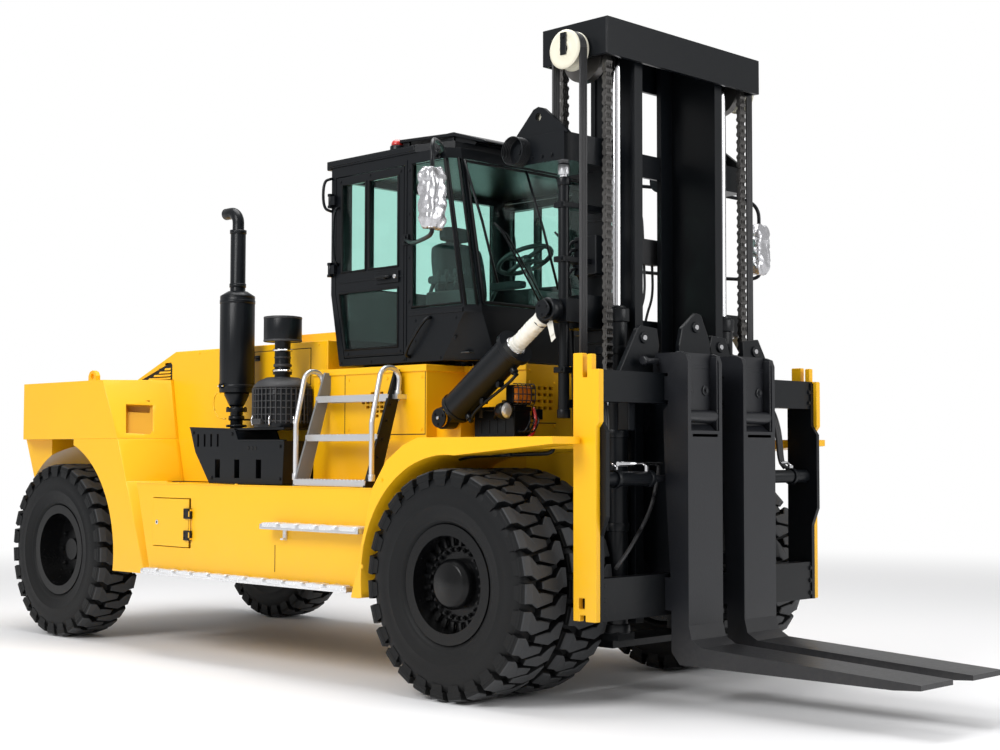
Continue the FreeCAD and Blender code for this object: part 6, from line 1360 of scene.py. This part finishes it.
def addPads(shape, start, end, innerY, outerY, level):
    # a row of rounded, slightly crumpled pads along a board
    count = max(1, round((end - start) / stepSpec["pitch"]))
    pitch = (end - start) / count
    for index in range(count):
        x = start + pitch * (index + 0.5)
        pad = bmesh.new()
        bmesh.ops.create_cube(pad, size=2.0)
        bmesh.ops.subdivide_edges(pad, edges=pad.edges[:], cuts=stepSpec["cuts"], use_grid_fill=True)
        half = Vector((stepSpec["pad"] / 2, (outerY - innerY) / 2, stepSpec["lift"]))
        for vert in pad.verts:
            spot = vert.co.copy()
            rounding = max(1.0, (spot.x ** 6 + spot.y ** 6) ** (1 / 6))
            place = Vector((x + spot.x / rounding * half.x, (innerY + outerY) / 2 + spot.y / rounding * half.y,
                level + spot.z * half.z * (1 - 0.35 * (spot.x ** 4 + spot.y ** 4) / 2)))
            place.z += noise.noise(place * 22.0) * stepSpec["ruffle"]
            place.y += noise.noise(place * 17.0 + Vector((5, 0, 2))) * stepSpec["sway"]
            vert.co = place
        for face in pad.faces:
            face.smooth = True
        stampAll(shape, pad, [(Matrix(), False)])


shape = bmesh.new()
addPads(shape, -1.85, 0.475, 1.29, 1.362, 0.614)
addPads(shape, -0.365, 0.635, 1.288, 1.406, 0.99)
addBox(shape, (-1.855, 1.349, 0.584), (0.482, 1.358, 0.606), bevel=0.003)
addBox(shape, (-0.245, 1.282, 0.9), (-0.215, 1.3, 0.965), bevel=0.004)
addBox(shape, (-0.245, 1.282, 0.888), (-0.215, 1.32, 0.902), bevel=0.003)
bothSides(shape)
toMesh("stepPads", shape, "filmSilver", "chassis")
shape = bmesh.new()
grip = bmesh.new()
bmesh.ops.create_cone(grip, cap_ends=True, segments=8, radius1=0.0095, radius2=0.007, depth=stepSpec["grip"])
source = toStamp(grip)
for level, y in ((1.275, 1.2), (1.57, 1.098), (1.83, 1.009)):
    for row in (-0.03, 0.0, 0.03):
        for column in range(stepSpec["columns"]):
            x = -0.155 + column * stepSpec["columnGap"]
            stamp(shape, source, Matrix.Translation((x, y + row, level + 0.0165)))
    addBox(shape, (-0.176, y + 0.05, level - 0.026), (0.526, y + 0.06, level + 0.018), bevel=0.003)
    addBox(shape, (-0.176, y - 0.06, level - 0.026), (0.526, y - 0.05, level + 0.018), bevel=0.003)
bpy.data.meshes.remove(source)
bothSides(shape)
toMesh("treadGrips", shape, "aluminium", "chassis")
shape = bmesh.new()
outline = [(1.142, 1.246), (1.262, 1.246), (1.003, 2.008), (0.952, 2.008), (0.952, 1.888)]
addPlate(shape, [(0.5245, y, z) for y, z in outline], (0.0185, 0, 0), bevel=0.002)
addPlate(shape, [(-0.193, y, z) for y, z in outline], (0.017, 0, 0), bevel=0.002, paint=1)
for share in (0.1, 0.24, 0.4, 0.56, 0.7, 0.84, 0.94):
    y, z = (1.205 - share * 0.232, 1.26 + share * 0.74)
    addBolt(shape, (0.543, y, z), (1, 0, 0), 0.01, 0.008)
    addBolt(shape, (-0.193, y, z), (-1, 0, 0), 0.01, 0.008)
for x in (-0.212, 0.562):
    addRod(shape, (x, 1.22, 1.286), (x, 1.22, 1.33), 0.023, sides=20, bevel=0.003, paint=2)
    addRod(shape, (x, 1.001, 1.832), (x, 0.998, 1.87), 0.023, sides=20, bevel=0.003, paint=2)
bothSides(shape)
toMesh("ladderPlates", shape, ("blackPaint", "greySteel", "aluminium"))
print("steps dressed")
